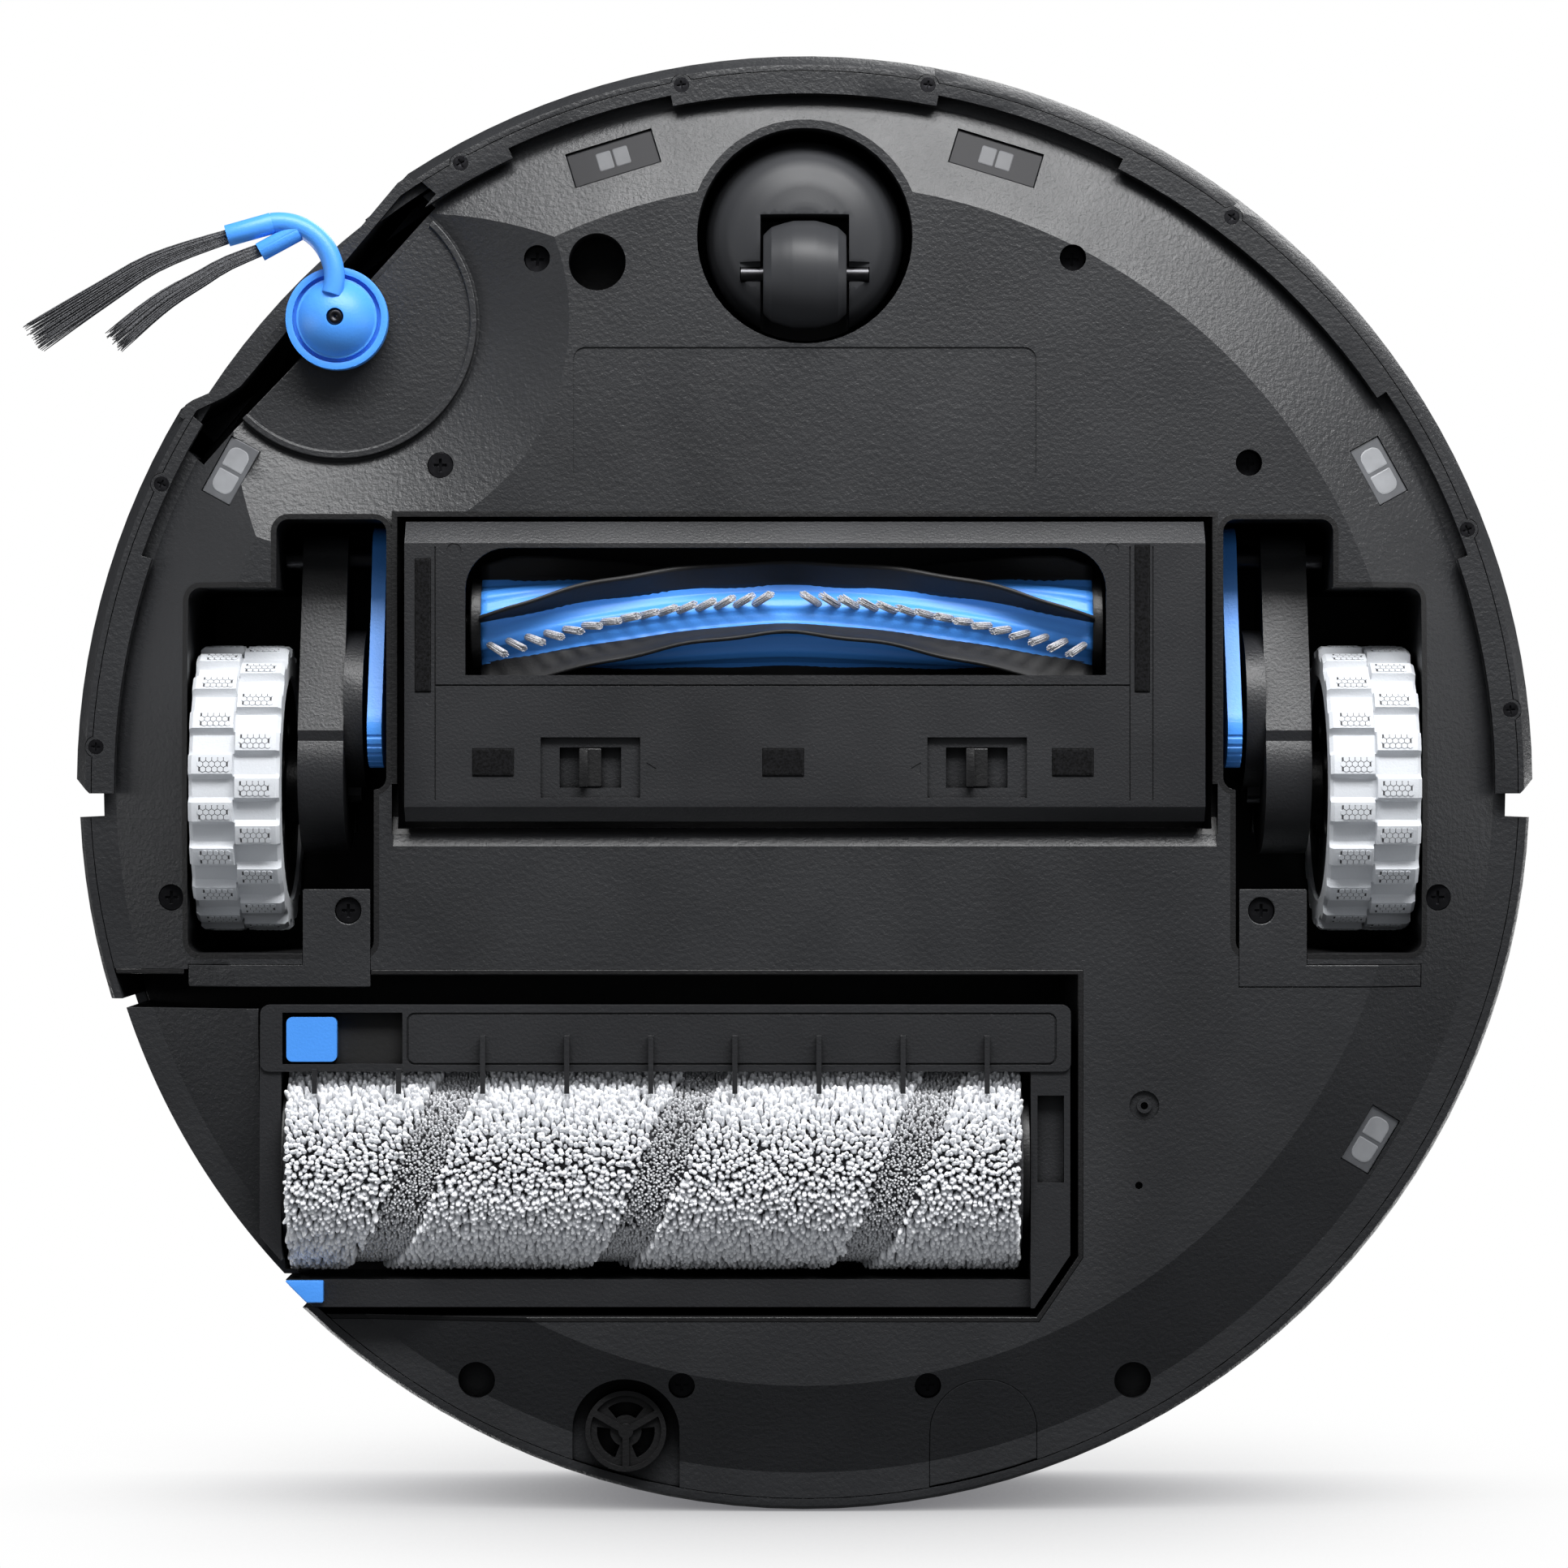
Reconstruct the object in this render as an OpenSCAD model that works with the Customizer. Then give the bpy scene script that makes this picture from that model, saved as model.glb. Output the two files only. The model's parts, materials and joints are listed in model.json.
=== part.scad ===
// Round robot vacuum with a roller mop.
// Millimetres, +Z up, front towards -Y, origin on the floor under the middle of the round body.

/* [Body] */
// Radius of the bumper's outer face
bumper_r = 176.5; // [176.3:0.1:177]
// Radius of the skirt round the rear half
skirt_r = 176; // [175.5:0.1:176.2]
// Height of the whole robot
body_h = 98; // [97:0.5:104]
// Height of the flat underside above the floor
floor_gap = 10; // [9.6:0.1:10.4]
// Thickness of the outer shells
shell_t = 2.5; // [2.2:0.1:2.8]
// Thickness of the housings round the wheels, brush and mop
housing_t = 1.3; // [1.1:0.1:1.3]

/* [Wheels] */
// Diameter over the tyre's tread
tyre_d = 70; // [66:1:70]
// Width of the tyre
tyre_w = 21.8; // [20:0.1:21.8]
// Tread blocks in each row
tread_blocks = 19; // [12:1:24]
// Diameter of the caster wheel
caster_wheel_d = 26; // [25:0.5:26]

/* [Side brush] */
// Radius of the hub's rim
hub_r = 12.3; // [11:0.1:12.5]
// Reach of the longer tuft from the hub's axis
tuft_reach = 72.8; // [60:0.2:73]

/* [Main brush] */
// Radius over the rubber fins
fin_r = 17; // [15:0.2:17]
// Radius of the brush core
brush_core_r = 10.5; // [9:0.1:11]
// Number of fins
fin_count = 5; // [3:1:6]
// Twist of each half of a fin, in degrees
fin_twist = 64; // [40:1:80]

/* [Mop] */
// Radius of the roller over its pile
mop_r = 26; // [24:0.2:26]

/* [Hidden] */
$fn = 96;
big_fn = 180;
eps = 0.01;

black = "#1c1d20";
charcoal = "#2b2d31";
dark = "#141517";
blue = "#3b8cf0";
white = "#dfe3e8";
grey = "#8b9097";
steel = "#b9bdc3";
green = "#2f6b45";

// Heights of the shells
bevel_r = 145;
edge_r = 167;
base_r = 173.2;
wall_r = 170;
bevel_top = floor_gap + 8.6;
base_top = 30;
deck_z = body_h - 11;
bumper_z = 14.6;
retainer_top = 17;
bumper_top = deck_z - 0.8;
split_y = 8;
bumper_end_y = 2.3;
notch_top = 50;

// Wheel wells, drawn on the right-hand side of the robot (-X)
well_out = 149;
well_mid = 127.3;
well_in = 100.8;
well_rear = 40.9;
well_top = 76;
wheel_y = 1;
wheel_z = tyre_d / 2;
tyre_x = 125.8;
pivot_y = -55.5;
pivot_z = 38;
pin_r = 3;
axle_r = 4;
run_fit = 0.05;
leg_x = 102.3;
leg_t = 3.5;
toe_y = -13;
toe_z = 23;

// Caster
caster_y = -132.1;
caster_cup_r = 26;
caster_cup_top = 42;
caster_trail = 9.1;
caster_axle_z = caster_wheel_d / 2;

// Side brush
side_x = -112.7;
side_y = -112.1;
plate_z = 18;
plate_r = 33.3;
cone_r = 56;
arm_r = 13.2;
arm_z = 6.4;

// Main brush
bay_x = 98.2;
bay_front = -64.4;
bay_rear = 10.8;
bay_top = 40;
brush_y = -38.6;
brush_z = 19;
brush_mid = -4.3;
brush_half = 73.9;
cover_z = 5;
cover_t = 1.6;
mouth = [[-81.5, 72.3], [-56.7, -26.1]];

// Mop
mop_y = 92.5;
mop_z = mop_r + 0.5;
mop_x = [-125.1, 52.5];
mop_bay_front = 46;
mop_bay_rear = 128.4;
mop_bay_x = 65.8;
mop_bay_top = 62;
panel_x = -133;
panel_y = [54.2, 118.7];
panel_inner_r = 170.8;
frame_rear = 126.2;

// Screws: [x, y]
screw_spots = [[-64.6, -126.8], [64.6, -126.8], [-88.1, -77.1], [107, -77.4], [-153.1, 27.4],
    [153.1, 27.4], [-29.7, 145.1], [29.7, 145.1]];
cover_screw = [110, 30.5];
bumper_screw_angles = [-177, -155, -119, -100, -80, -53, -21, -6];
bumper_screw_r = 171.6;

// Places on the underside: [x, y, turn]
front_windows = [[-46.3, -151.4, -17], [46.3, -151.4, 17]];
side_windows = [[-138.9, -75.8, -61], [138.9, -75.8, 61], [137, 86.1, -59]];
port_x = 43.3;
port_y = 156.6;
port_r = 13;
bore_x = 79.5;
bore_y = 144.4;
bore_r = 4.5;
bore_depth = 12;

// ---------- helpers ----------
module slab(x, y, z) {
    translate([x[0], y[0], z[0]]) cube([x[1] - x[0], y[1] - y[0], z[1] - z[0]]);
}

module ring(outer, inner, z) {
    translate([0, 0, z[0]]) linear_extrude(z[1] - z[0]) difference() {
        circle(outer, $fn = big_fn);
        circle(inner, $fn = big_fn);
    }
}

module disc(r, z, fn = big_fn) {
    translate([0, 0, z[0]]) cylinder(r = r, h = z[1] - z[0], $fn = fn);
}

module x_rod(x, y, z, r) {
    translate([x[0], y, z]) rotate([0, 90, 0]) cylinder(r = r, h = x[1] - x[0]);
}

module rounded_2d(x, y, r) {
    translate([x[0], y[0]]) offset(r = r, $fn = 32) translate([r, r])
        square([x[1] - x[0] - 2 * r, y[1] - y[0] - 2 * r]);
}

module rounded_slab(x, y, z, r) {
    translate([0, 0, z[0]]) linear_extrude(z[1] - z[0]) rounded_2d(x, y, r);
}

// Everything is drawn for the right-hand side (-X); the left is its mirror image.
module on_side(left) {
    if (left) mirror([1, 0, 0]) children();
    else children();
}

module at_spot(spot) {
    translate([spot[0], spot[1], 0]) rotate([0, 0, spot[2]]) children();
}

// A sector of a ring between two angles, under 120 degrees apart
module ring_sector(outer, inner, z, from, to) {
    reach = 2 * outer;
    intersection() {
        ring(outer, inner, z);
        linear_extrude(300, center = true) polygon(concat([[0, 0]],
            [for (a = [from, (from + to) / 2, to]) [reach * cos(a), reach * sin(a)]]));
    }
}

// The space above the underside's surface, out to a given radius
module above_belly(r, top, lift = 0) {
    rotate_extrude($fn = big_fn) polygon([[0, floor_gap + lift], [bevel_r, floor_gap + lift],
        [edge_r, bevel_top + lift], [r, bevel_top + lift], [r, top], [0, top]]);
}

// ---------- outlines of the bays ----------
module well_2d(grow = 0) {
    offset(delta = grow) offset(r = 3, $fn = 24) offset(delta = -3) polygon([
        [-well_out, -47.4], [-well_mid, -47.4], [-well_mid, -63.8], [-well_in, -63.8],
        [-well_in, 1.4], [-103.8, 1.4], [-103.8, well_rear], [-well_out, well_rear]]);
}

module brush_bay_2d(grow = 0) {
    translate([-bay_x - grow, bay_front - grow])
        square([2 * (bay_x + grow), bay_rear - bay_front + 2 * grow]);
}

module mop_bay_2d(grow = 0) {
    offset(delta = grow) polygon([[-200, mop_bay_front], [mop_bay_x, mop_bay_front],
        [mop_bay_x, 113.8], [55.8, mop_bay_rear], [-132, mop_bay_rear], [-200, 190]]);
}

module arch_2d(r) {
    circle(r);
    translate([-r, 0]) square([2 * r, 30]);
}

// ---------- base ----------
// Room behind the bumper's flat, with its travel
module notch_room(top) {
    rotate([0, 0, 220]) slab([163.6, 190], [-34, 56], [-1, top]);
}

module screw_hole(spot) {
    translate([spot[0], spot[1], floor_gap - 1]) cylinder(r = 3.2, h = 8, $fn = 48);
}

module screw(head_z, head_r, length) {
    difference() {
        union() {
            translate([0, 0, head_z]) cylinder(r = head_r, h = 2, $fn = 48);
            translate([0, 0, head_z + 2 - eps]) cylinder(r = 1.4, h = length, $fn = 32);
        }
        for (turn = [0, 90]) rotate([0, 0, turn])
            slab([-1.6, 1.6], [-0.35, 0.35], [head_z - 1, head_z + 0.9]);
    }
}

module belly_skin() {
    difference() {
        above_belly(base_r, 24);
        translate([0, 0, shell_t]) above_belly(base_r - shell_t, 40);
        difference() {
            ring(190, wall_r, [0, 60]);
            slab([-200, 200], [split_y, 200], [-1, 61]);
        }
    }
}

// The bowl round the side brush
module side_bowl(grow) {
    translate([side_x, side_y, floor_gap - eps]) {
        cylinder(r1 = cone_r + grow, r2 = plate_r + 0.6 + grow, h = plate_z - floor_gap + grow);
    }
}

module base_shell() {
    color(charcoal) difference() {
        union() {
            belly_skin();
            ring(wall_r, wall_r - shell_t, [bevel_top + 1, base_top]);
            intersection() {
                union() {
                    side_bowl(shell_t);
                    // flat wall behind the side brush
                    rotate([0, 0, 222]) slab([156.8, 159.4], [-52, 52], [17, notch_top + 1]);
                }
                above_belly(wall_r - 1, 60);
            }
            translate([0, caster_y, floor_gap])
                cylinder(r = caster_cup_r + 2, h = caster_cup_top + 2 - floor_gap);
            intersection() {
                union() {
                    for (s = screw_spots) translate([s[0], s[1], floor_gap]) cylinder(r = 5.2, h = 14);
                    for (side = [-1, 1]) translate([side * bore_x, bore_y, floor_gap])
                        cylinder(r = bore_r + 2, h = bore_depth + 2);
                    translate([-50, -125.8, floor_gap]) cylinder(r = 9, h = 16);
                    translate([-port_x, port_y, floor_gap]) linear_extrude(13) arch_2d(port_r + 1.5);
                    for (w = concat(front_windows, side_windows)) at_spot(w)
                        slab([-12.5, 12.5], [-6, 6], [floor_gap, 24]);
                }
                above_belly(base_r - 1, 60);
            }
        }
        side_bowl(0);
        // the edge beside the side brush
        rotate([0, 0, 222]) slab([160, 190], [-40, 44], [-1, 29]);
        notch_room(60);
        translate([0, 0, -1]) linear_extrude(100) {
            well_2d(housing_t);
            mirror([1, 0]) well_2d(housing_t);
            brush_bay_2d(housing_t);
            mop_bay_2d(housing_t);
        }
        // recesses under the two well covers
        for (left = [false, true]) on_side(left) well_cover_slab(0.05);
        // caster cup with its stem hole
        translate([0, caster_y, -1]) cylinder(r = caster_cup_r, h = caster_cup_top + 1);
        translate([0, caster_y, 0]) cylinder(r = 4 + run_fit, h = 60);
        for (s = screw_spots) screw_hole(s);
        for (s = screw_spots) translate([s[0], s[1], 0]) cylinder(r = 1.4 + run_fit, h = 40, $fn = 32);
        for (side = [-1, 1]) translate([side * bore_x, bore_y, -1])
            cylinder(r = bore_r, h = floor_gap + bore_depth + 1);
        translate([-50, -125.8, -1]) cylinder(r = 6.9, h = floor_gap + 14);
        for (w = front_windows) at_spot(w) slab([-10.9, 10.9], [-4.5, 4.5], [0, 21]);
        for (w = side_windows) at_spot(w) slab([-7.6, 7.6], [-4.1, 4.1], [0, 21]);
        translate([-port_x, port_y, 0]) linear_extrude(20) arch_2d(port_r);
        translate([port_x, port_y, 0]) linear_extrude(40) arch_2d(port_r + 0.1);
        // shallow field for the rating plate
        rounded_slab([-55.8, 55.8], [-105.3, -72.1], [floor_gap - 1, floor_gap + 0.35], 3);
        // dimple with a pin hole, and a second pin hole behind it
        translate([81.8, 77.5, floor_gap - 1]) difference() {
            cylinder(r = 3.6, h = 1.8, $fn = 48);
            cylinder(r = 1.8, h = 3, $fn = 48);
        }
        for (spot = [[81.8, 77.5], [80.5, 96.7]]) translate([spot[0], spot[1], floor_gap - 1])
            cylinder(r = 0.9, h = 2.4, $fn = 32);
        // slope behind the brush bay
        rotate([90, 0, 90]) translate([0, 0, -bay_x - 1])
            linear_extrude(2 * bay_x + 2) polygon([[0, 0], [15, floor_gap], [8, 14.1], [0, 14.1]]);
        // side brush motor's shaft
        translate([side_x, side_y, 0]) cylinder(r = 5, h = 40);
    }
}

module housing(top, r = wall_r - shell_t) {
    difference() {
        intersection() {
            linear_extrude(top + housing_t) children(0);
            above_belly(r, 90);
        }
        translate([0, 0, -1]) linear_extrude(top + 1) children(1);
    }
}

module wheel_housing(left) {
    color(dark) on_side(left) difference() {
        housing(well_top) {
            well_2d(housing_t);
            well_2d();
        }
        well_cover_slab(0.05);
        x_rod([-140, -90], pivot_y, pivot_z, pin_r);
        // room for the screw beside the well
        translate([-153.1, 27.4, 0]) cylinder(r = 3.1, h = 24);
    }
}

module brush_housing() {
    color(dark) difference() {
        housing(bay_top) {
            brush_bay_2d(housing_t);
            brush_bay_2d();
        }
        rotate([90, 0, 90]) translate([0, 0, -bay_x - 5])
            linear_extrude(2 * bay_x + 10) polygon([[0, 0], [15, floor_gap], [8, 14.1], [0, 14.1]]);
        for (left = [false, true]) on_side(left) x_rod([-140, -90], pivot_y, pivot_z, pin_r);
        // suction duct to the dust bin
        slab([-60, 20], [-12, 6], [bay_top - 1, bay_top + 5]);
    }
}

module mop_housing() {
    color(dark) difference() {
        housing(mop_bay_top, base_r - 0.1) {
            intersection() {
                mop_bay_2d(housing_t);
                translate([0, 88]) square([380, 90], center = true);
            }
            mop_bay_2d();
        }
        slab([-200, panel_x + 12], [panel_y[0] - 0.6, 135], [0, mop_bay_top]);
        // the foot of the wall makes way for the well cover
        slab([-150, -104.5], [44, mop_bay_front + eps], [0, 21.3]);
    }
}

module well_cover_slab(gap) {
    linear_extrude(60) offset(delta = gap) polygon([[-104.6, 25.3], [-121, 25.3], [-121, 43.5],
        [-149, 43.5], [-149, 49], [-104.6, 49]]);
}

module well_cover(left) {
    color(charcoal) on_side(left) difference() {
        intersection() {
            well_cover_slab(-0.1);
            above_belly(wall_r - shell_t, floor_gap + 10);
        }
        translate([0, 0, shell_t]) above_belly(wall_r - shell_t, 60);
        translate([-cover_screw[0], cover_screw[1], 0]) cylinder(r = 3.2, h = 30, $fn = 48);
    }
}

// ---------- upper shell and lid ----------
lid_r = 168.2;
lid_front = -118;
bin_hole = [[-91, 41], [-16, 43]];
button_y = -140;
button_r = 9;

module upper_shell() {
    color(charcoal) difference() {
        union() {
            // deck and rim
            rotate_extrude($fn = big_fn) polygon([[0, deck_z], [skirt_r - 0.3, deck_z],
                [skirt_r - 0.3, deck_z + 4.5], [skirt_r - 2, deck_z + 8], [lid_r + 3, body_h - 1.4],
                [lid_r + 0.4, body_h - 1.6], [lid_r + 0.4, deck_z + shell_t], [0, deck_z + shell_t]]);
            intersection() {
                disc(lid_r + 1, [deck_z, body_h - 1.5]);
                slab([-200, 200], [-200, lid_front], [0, 200]);
            }
            // wall behind the bumper
            difference() {
                ring(wall_r, wall_r - shell_t, [base_top, deck_z + eps]);
                slab([-200, 200], [split_y, 200], [0, 200]);
                notch_room(notch_top + 1);
            }
            // skirt round the rear half
            difference() {
                rotate_extrude($fn = big_fn) polygon([[base_r + 0.2, bevel_top], [skirt_r - 0.8, bevel_top],
                    [skirt_r, bevel_top + 1], [skirt_r, deck_z + eps], [base_r + 0.2, deck_z + eps]]);
                slab([-200, 200], [-200, split_y], [0, 200]);
            }
            for (flip = [0, 1]) mirror([flip, 0, 0])
                slab([169, 174], [split_y, split_y + 2], [base_top, deck_z]);
        }
        // window for the dust bin
        slab(bin_hole[0], bin_hole[1], [deck_z - 1, deck_z + 5]);
        // button well
        translate([0, button_y, deck_z - 1]) cylinder(r = button_r + 0.4, h = 20);
        // opening for the sliding mop
        slab([-200, -100], [panel_y[0] - 2.2, frame_rear + 0.8], [0, mop_bay_top + 1]);
        // slots for the charging contacts
        for (side = [-1, 1]) translate([side * 25, 0, 0]) slab([-7, 7], [160, 190], [34, 46]);
        // hollow under the front of the deck
        intersection() {
            disc(lid_r - 2, [deck_z + shell_t, body_h - 4]);
            slab([-200, 200], [-200, lid_front - 2.5], [0, 200]);
            difference() {
                slab([-200, 200], [-200, 200], [0, 200]);
                translate([0, button_y, 0]) cylinder(r = button_r + 2.4, h = 200);
            }
        }
    }
}

module top_cover() {
    dome = [for (i = [0 : 8]) let (r = 20 * i) [r, body_h - pow(r / lid_r, 2)]];
    color(charcoal) difference() {
        rotate_extrude($fn = big_fn) polygon(concat(dome, [[166, body_h - 1.5], [lid_r, body_h - 3.4],
            [lid_r, deck_z + shell_t + 0.3], [lid_r - 2.2, deck_z + shell_t + 0.3],
            [lid_r - 2.2, body_h - 4], [0, body_h - 3]]));
        slab([-200, 200], [-200, lid_front + 0.4], [0, 200]);
        // finger notch at the rear edge
        translate([0, lid_r + 8, deck_z]) cylinder(r = 16, h = 20);
    }
}

module start_button() {
    color(grey) translate([0, button_y, 0]) {
        translate([0, 0, deck_z + 3]) cylinder(r = button_r, h = body_h - 1.5 - deck_z - 3);
        translate([0, 0, deck_z - 4]) cylinder(r = 3, h = 8);
    }
}

// ---------- bumper ----------
module bumper_half() {
    difference() {
        children();
        slab([-200, 200], [bumper_end_y, 200], [0, 200]);
        for (side = [-1, 1]) translate([side * bumper_r, bumper_end_y, 0]) rotate([0, 0, 45])
            cube([5, 5, 300], center = true);
    }
}

// The flat beside the side brush, in the frame of its own normal
module notch_cut() {
    rotate([0, 0, 220]) translate([0, 0, -1]) linear_extrude(47)
        polygon([[168.8, 60], [168.8, -13], [170, -18], [173, -24], [176, -32], [200, -32], [200, 60]]);
}

module notch_wall() {
    rotate([0, 0, 220]) linear_extrude(48.5) polygon([[166.3, 51], [168.8, 51], [168.8, -13],
        [170, -18], [173, -24], [174.5, -29], [171.8, -29], [170.6, -25], [167.6, -18.6], [166.3, -14]]);
}

module bumper_shell() {
    color(charcoal) difference() {
        union() {
            difference() {
                bumper_half() union() {
                    rotate_extrude($fn = big_fn) polygon([[172.6, bumper_z], [bumper_r - 2.6, bumper_z],
                        [bumper_r, bumper_z + 4], [bumper_r, bumper_top - 1.5], [bumper_r - 1, bumper_top],
                        [bumper_r - shell_t, bumper_top], [bumper_r - shell_t, retainer_top + 1.1],
                        [170.6, retainer_top + 1.1], [170.6, retainer_top], [172.6, retainer_top]]);
                }
                notch_cut();
            }
            intersection() {
                union() {
                    notch_wall();
                    rotate([0, 0, 220]) slab([166.3, 176], [-29, 51], [46, 48.5]);
                }
                disc(bumper_r - 1, [bumper_z, 60]);
            }
        }
        for (a = bumper_screw_angles) rotate([0, 0, a]) translate([bumper_screw_r, 0, 0]) {
            translate([0, 0, bumper_z - 1]) cylinder(r = 2.7, h = retainer_top + 1.06 - bumper_z, $fn = 48);
            cylinder(r = 1.05, h = 30, $fn = 32);
        }
        // seat of the sensor window
        ring_sector(bumper_r + 1, bumper_r - 1.2, [40, 66], -128, -52);
    }
}

module bumper_retainer() {
    color(charcoal) difference() {
        bumper_half() union() {
            ring(172.4, 167, [bumper_z, retainer_top]);
            for (a = bumper_screw_angles) rotate([0, 0, a]) translate([bumper_screw_r, 0, bumper_z + 0.05])
                cylinder(r = 2.55, h = retainer_top - bumper_z - 0.1, $fn = 48);
        }
        rotate([0, 0, 220]) slab([160, 200], [-27, 52], [0, 60]);
        for (a = bumper_screw_angles) rotate([0, 0, a]) translate([bumper_screw_r, 0, 0]) {
            cylinder(r = 1.05, h = 40, $fn = 32);
            cylinder(r = 1.85, h = bumper_z + 1, $fn = 48);
        }
        // crescent slots between the bumper and the base
        for (span = [[-115, -101], [-79, -63], [-34, -19], [-161, -148]])
            ring_sector(169.6, 160, [0, 60], span[0], span[1]);
    }
}

module bumper_screws() {
    color(dark) for (a = bumper_screw_angles) rotate([0, 0, a]) translate([bumper_screw_r, 0, 0])
        difference() {
            union() {
                translate([0, 0, bumper_z]) cylinder(r = 1.8, h = 1, $fn = 48);
                translate([0, 0, bumper_z + 1 - eps]) cylinder(r = 1, h = 2.4, $fn = 32);
            }
            for (turn = [0, 90]) rotate([0, 0, turn])
                slab([-1.1, 1.1], [-0.2, 0.2], [bumper_z - 1, bumper_z + 0.5]);
        }
}

module sensor_window() {
    color(dark) ring_sector(bumper_r - 0.1, bumper_r - 1.15, [40.1, 65.9], -127.9, -52.1);
}

// ---------- fittings on the base ----------
module chassis_screws() {
    color(dark) {
        for (s = screw_spots) translate([s[0], s[1], 0]) screw(floor_gap + 5, 3, 4.5);
        for (side = [-1, 1]) translate([side * cover_screw[0], cover_screw[1], 0])
            screw(floor_gap + 1, 3, 3);
    }
}

module front_cliff_windows() {
    color(black) intersection() {
        for (w = front_windows) at_spot(w) slab([-10.8, 10.8], [-4.4, 4.4], [0, 20.9]);
        above_belly(edge_r, 60, 0.8);
    }
}

module side_cliff_windows() {
    color(grey) intersection() {
        for (w = side_windows) at_spot(w) slab([-7.5, 7.5], [-4, 4], [0, 20.9]);
        above_belly(edge_r, 60, 0.5);
    }
}

module water_port() {
    color(black) translate([-port_x, port_y, 0]) difference() {
        translate([0, 0, 15.5]) cylinder(r = 9.8, h = 4.4);
        translate([0, 0, 14]) difference() {
            cylinder(r = 8.6, h = 2.4);
            cylinder(r = 1.8, h = 10);
            for (a = [90, 210, 330]) rotate([0, 0, a]) slab([0, 9], [-0.8, 0.8], [0, 5]);
        }
        for (a = [30, 150, 270]) rotate([0, 0, a]) difference() {
            ring_sector(7, 3.8, [10, 30], -38, 38);
        }
    }
}

module port_blank() {
    color(charcoal) intersection() {
        difference() {
            above_belly(base_r - 0.2, 23);
            translate([0, 0, shell_t]) above_belly(base_r - shell_t, 60);
        }
        translate([port_x, port_y, 0]) linear_extrude(60) arch_2d(port_r);
    }
}

module charge_contacts() {
    color(steel) for (side = [-1, 1]) translate([side * 25, 0, 0]) intersection() {
        slab([-6.8, 6.8], [168, 180], [34.2, 45.8]);
        translate([-side * 25, 0, 0]) disc(skirt_r - 0.3, [30, 50]);
    }
}

module side_brush_plate() {
    color(charcoal) difference() {
        intersection() {
            translate([side_x, side_y, 0]) union() {
                translate([0, 0, plate_z - 1.2]) cylinder(r = plate_r - 1.6, h = 1.2 - eps);
                translate([0, 0, plate_z - 2]) difference() {
                    cylinder(r = plate_r, h = 2 - eps);
                    translate([0, 0, -1]) cylinder(r = plate_r - 1.6, h = 4);
                }
            }
            rotate([0, 0, 224]) slab([0, 159.4], [-60, 60], [0, 60]);
        }
        translate([side_x, side_y, 0]) cylinder(r = 5, h = 40);
    }
}

module pivot_pins() {
    color(steel) for (left = [false, true]) on_side(left)
        x_rod([-well_mid - housing_t, -bay_x], pivot_y, pivot_z, pin_r);
}

// ---------- inside ----------
module battery() {
    color("#25406b") slab([-60, 60], [-103, -67.5], [14, 50]);
}

module main_board() {
    color(green) slab([-88, 88], [-112, -22], [66, 68]);
}

module suction_fan() {
    color(dark) translate([68, 18, 0]) {
        translate([0, 0, 43]) cylinder(r = 26, h = 30);
        translate([0, 0, 73 - eps]) cylinder(r = 14, h = 8);
    }
}

module dust_bin() {
    color(grey) difference() {
        slab([-90, 40], [-15, 42], [43, 88]);
        slab([-88, 38], [-13, 40], [45, 86]);
        slab([-60, 20], [-12, 6], [42, 46]);
    }
}

module tank_room(r) {
    intersection() {
        children();
        disc(r, [0, 100]);
    }
}

module clean_tank() {
    color(white) tank_room(163) difference() {
        slab([69, 160], [52, 150], [26, 84]);
        slab([71, 158], [54, 148], [28, 82]);
        ring(200, 161, [0, 100]);
    }
}

module dirty_tank() {
    color(grey) tank_room(163) slab([-120, 66], [66, 150], [64, 85]);
}

module brush_motor() {
    color(steel) x_rod([48, 92], -45, 51, 9);
}

module side_brush_motor() {
    // it sits inboard of the wall and drives the hub through a gear train
    color(steel) rotate([0, 0, 222]) translate([143.6, 0, plate_z + shell_t + 0.2]) cylinder(r = 13, h = 26);
}

module front_sensor() {
    color(dark) slab([-24, 24], [-163, -150], [46, 60]);
}

// ---------- wheels ----------
module arm_2d() {
    // drawn in [y, z]
    circle_at(pivot_y, pivot_z, 7.5);
    polygon([[pivot_y, pivot_z + 7.5], [wheel_y - 8, wheel_z + 22], [wheel_y + 3.7, wheel_z + 20],
        [wheel_y + 3.7, wheel_z - 16], [wheel_y - 14, wheel_z - 19], [pivot_y, pivot_z - 7.5]]);
    circle_at(wheel_y - 4, wheel_z, 20);
}

module circle_at(y, z, r) {
    translate([y, z]) circle(r);
}

module yz_plate(x, t) {
    translate([x, 0, 0]) rotate([90, 0, 90]) linear_extrude(t) children();
}

module wheel_arm(left) {
    color(dark) on_side(left) difference() {
        union() {
            yz_plate(-122.7, 11) arm_2d();
            x_rod([-111.8, -107.2], -18, wheel_z + 2, 19.8);
            x_rod([-124.7, -111.7], 8.2, wheel_z + 22, 4);
            yz_plate(-122.7, 11)
                polygon([[0, wheel_z + 14], [12, wheel_z + 20], [12, wheel_z + 25], [-6, wheel_z + 22]]);
        }
        x_rod([-130, -100], pivot_y, pivot_z, pin_r + run_fit);
        x_rod([-130, -108], wheel_y, wheel_z, axle_r + run_fit);
    }
}

module wheel_axle(left) {
    color(steel) on_side(left) x_rod([-145, -108.5], wheel_y, wheel_z, axle_r);
}

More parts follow.
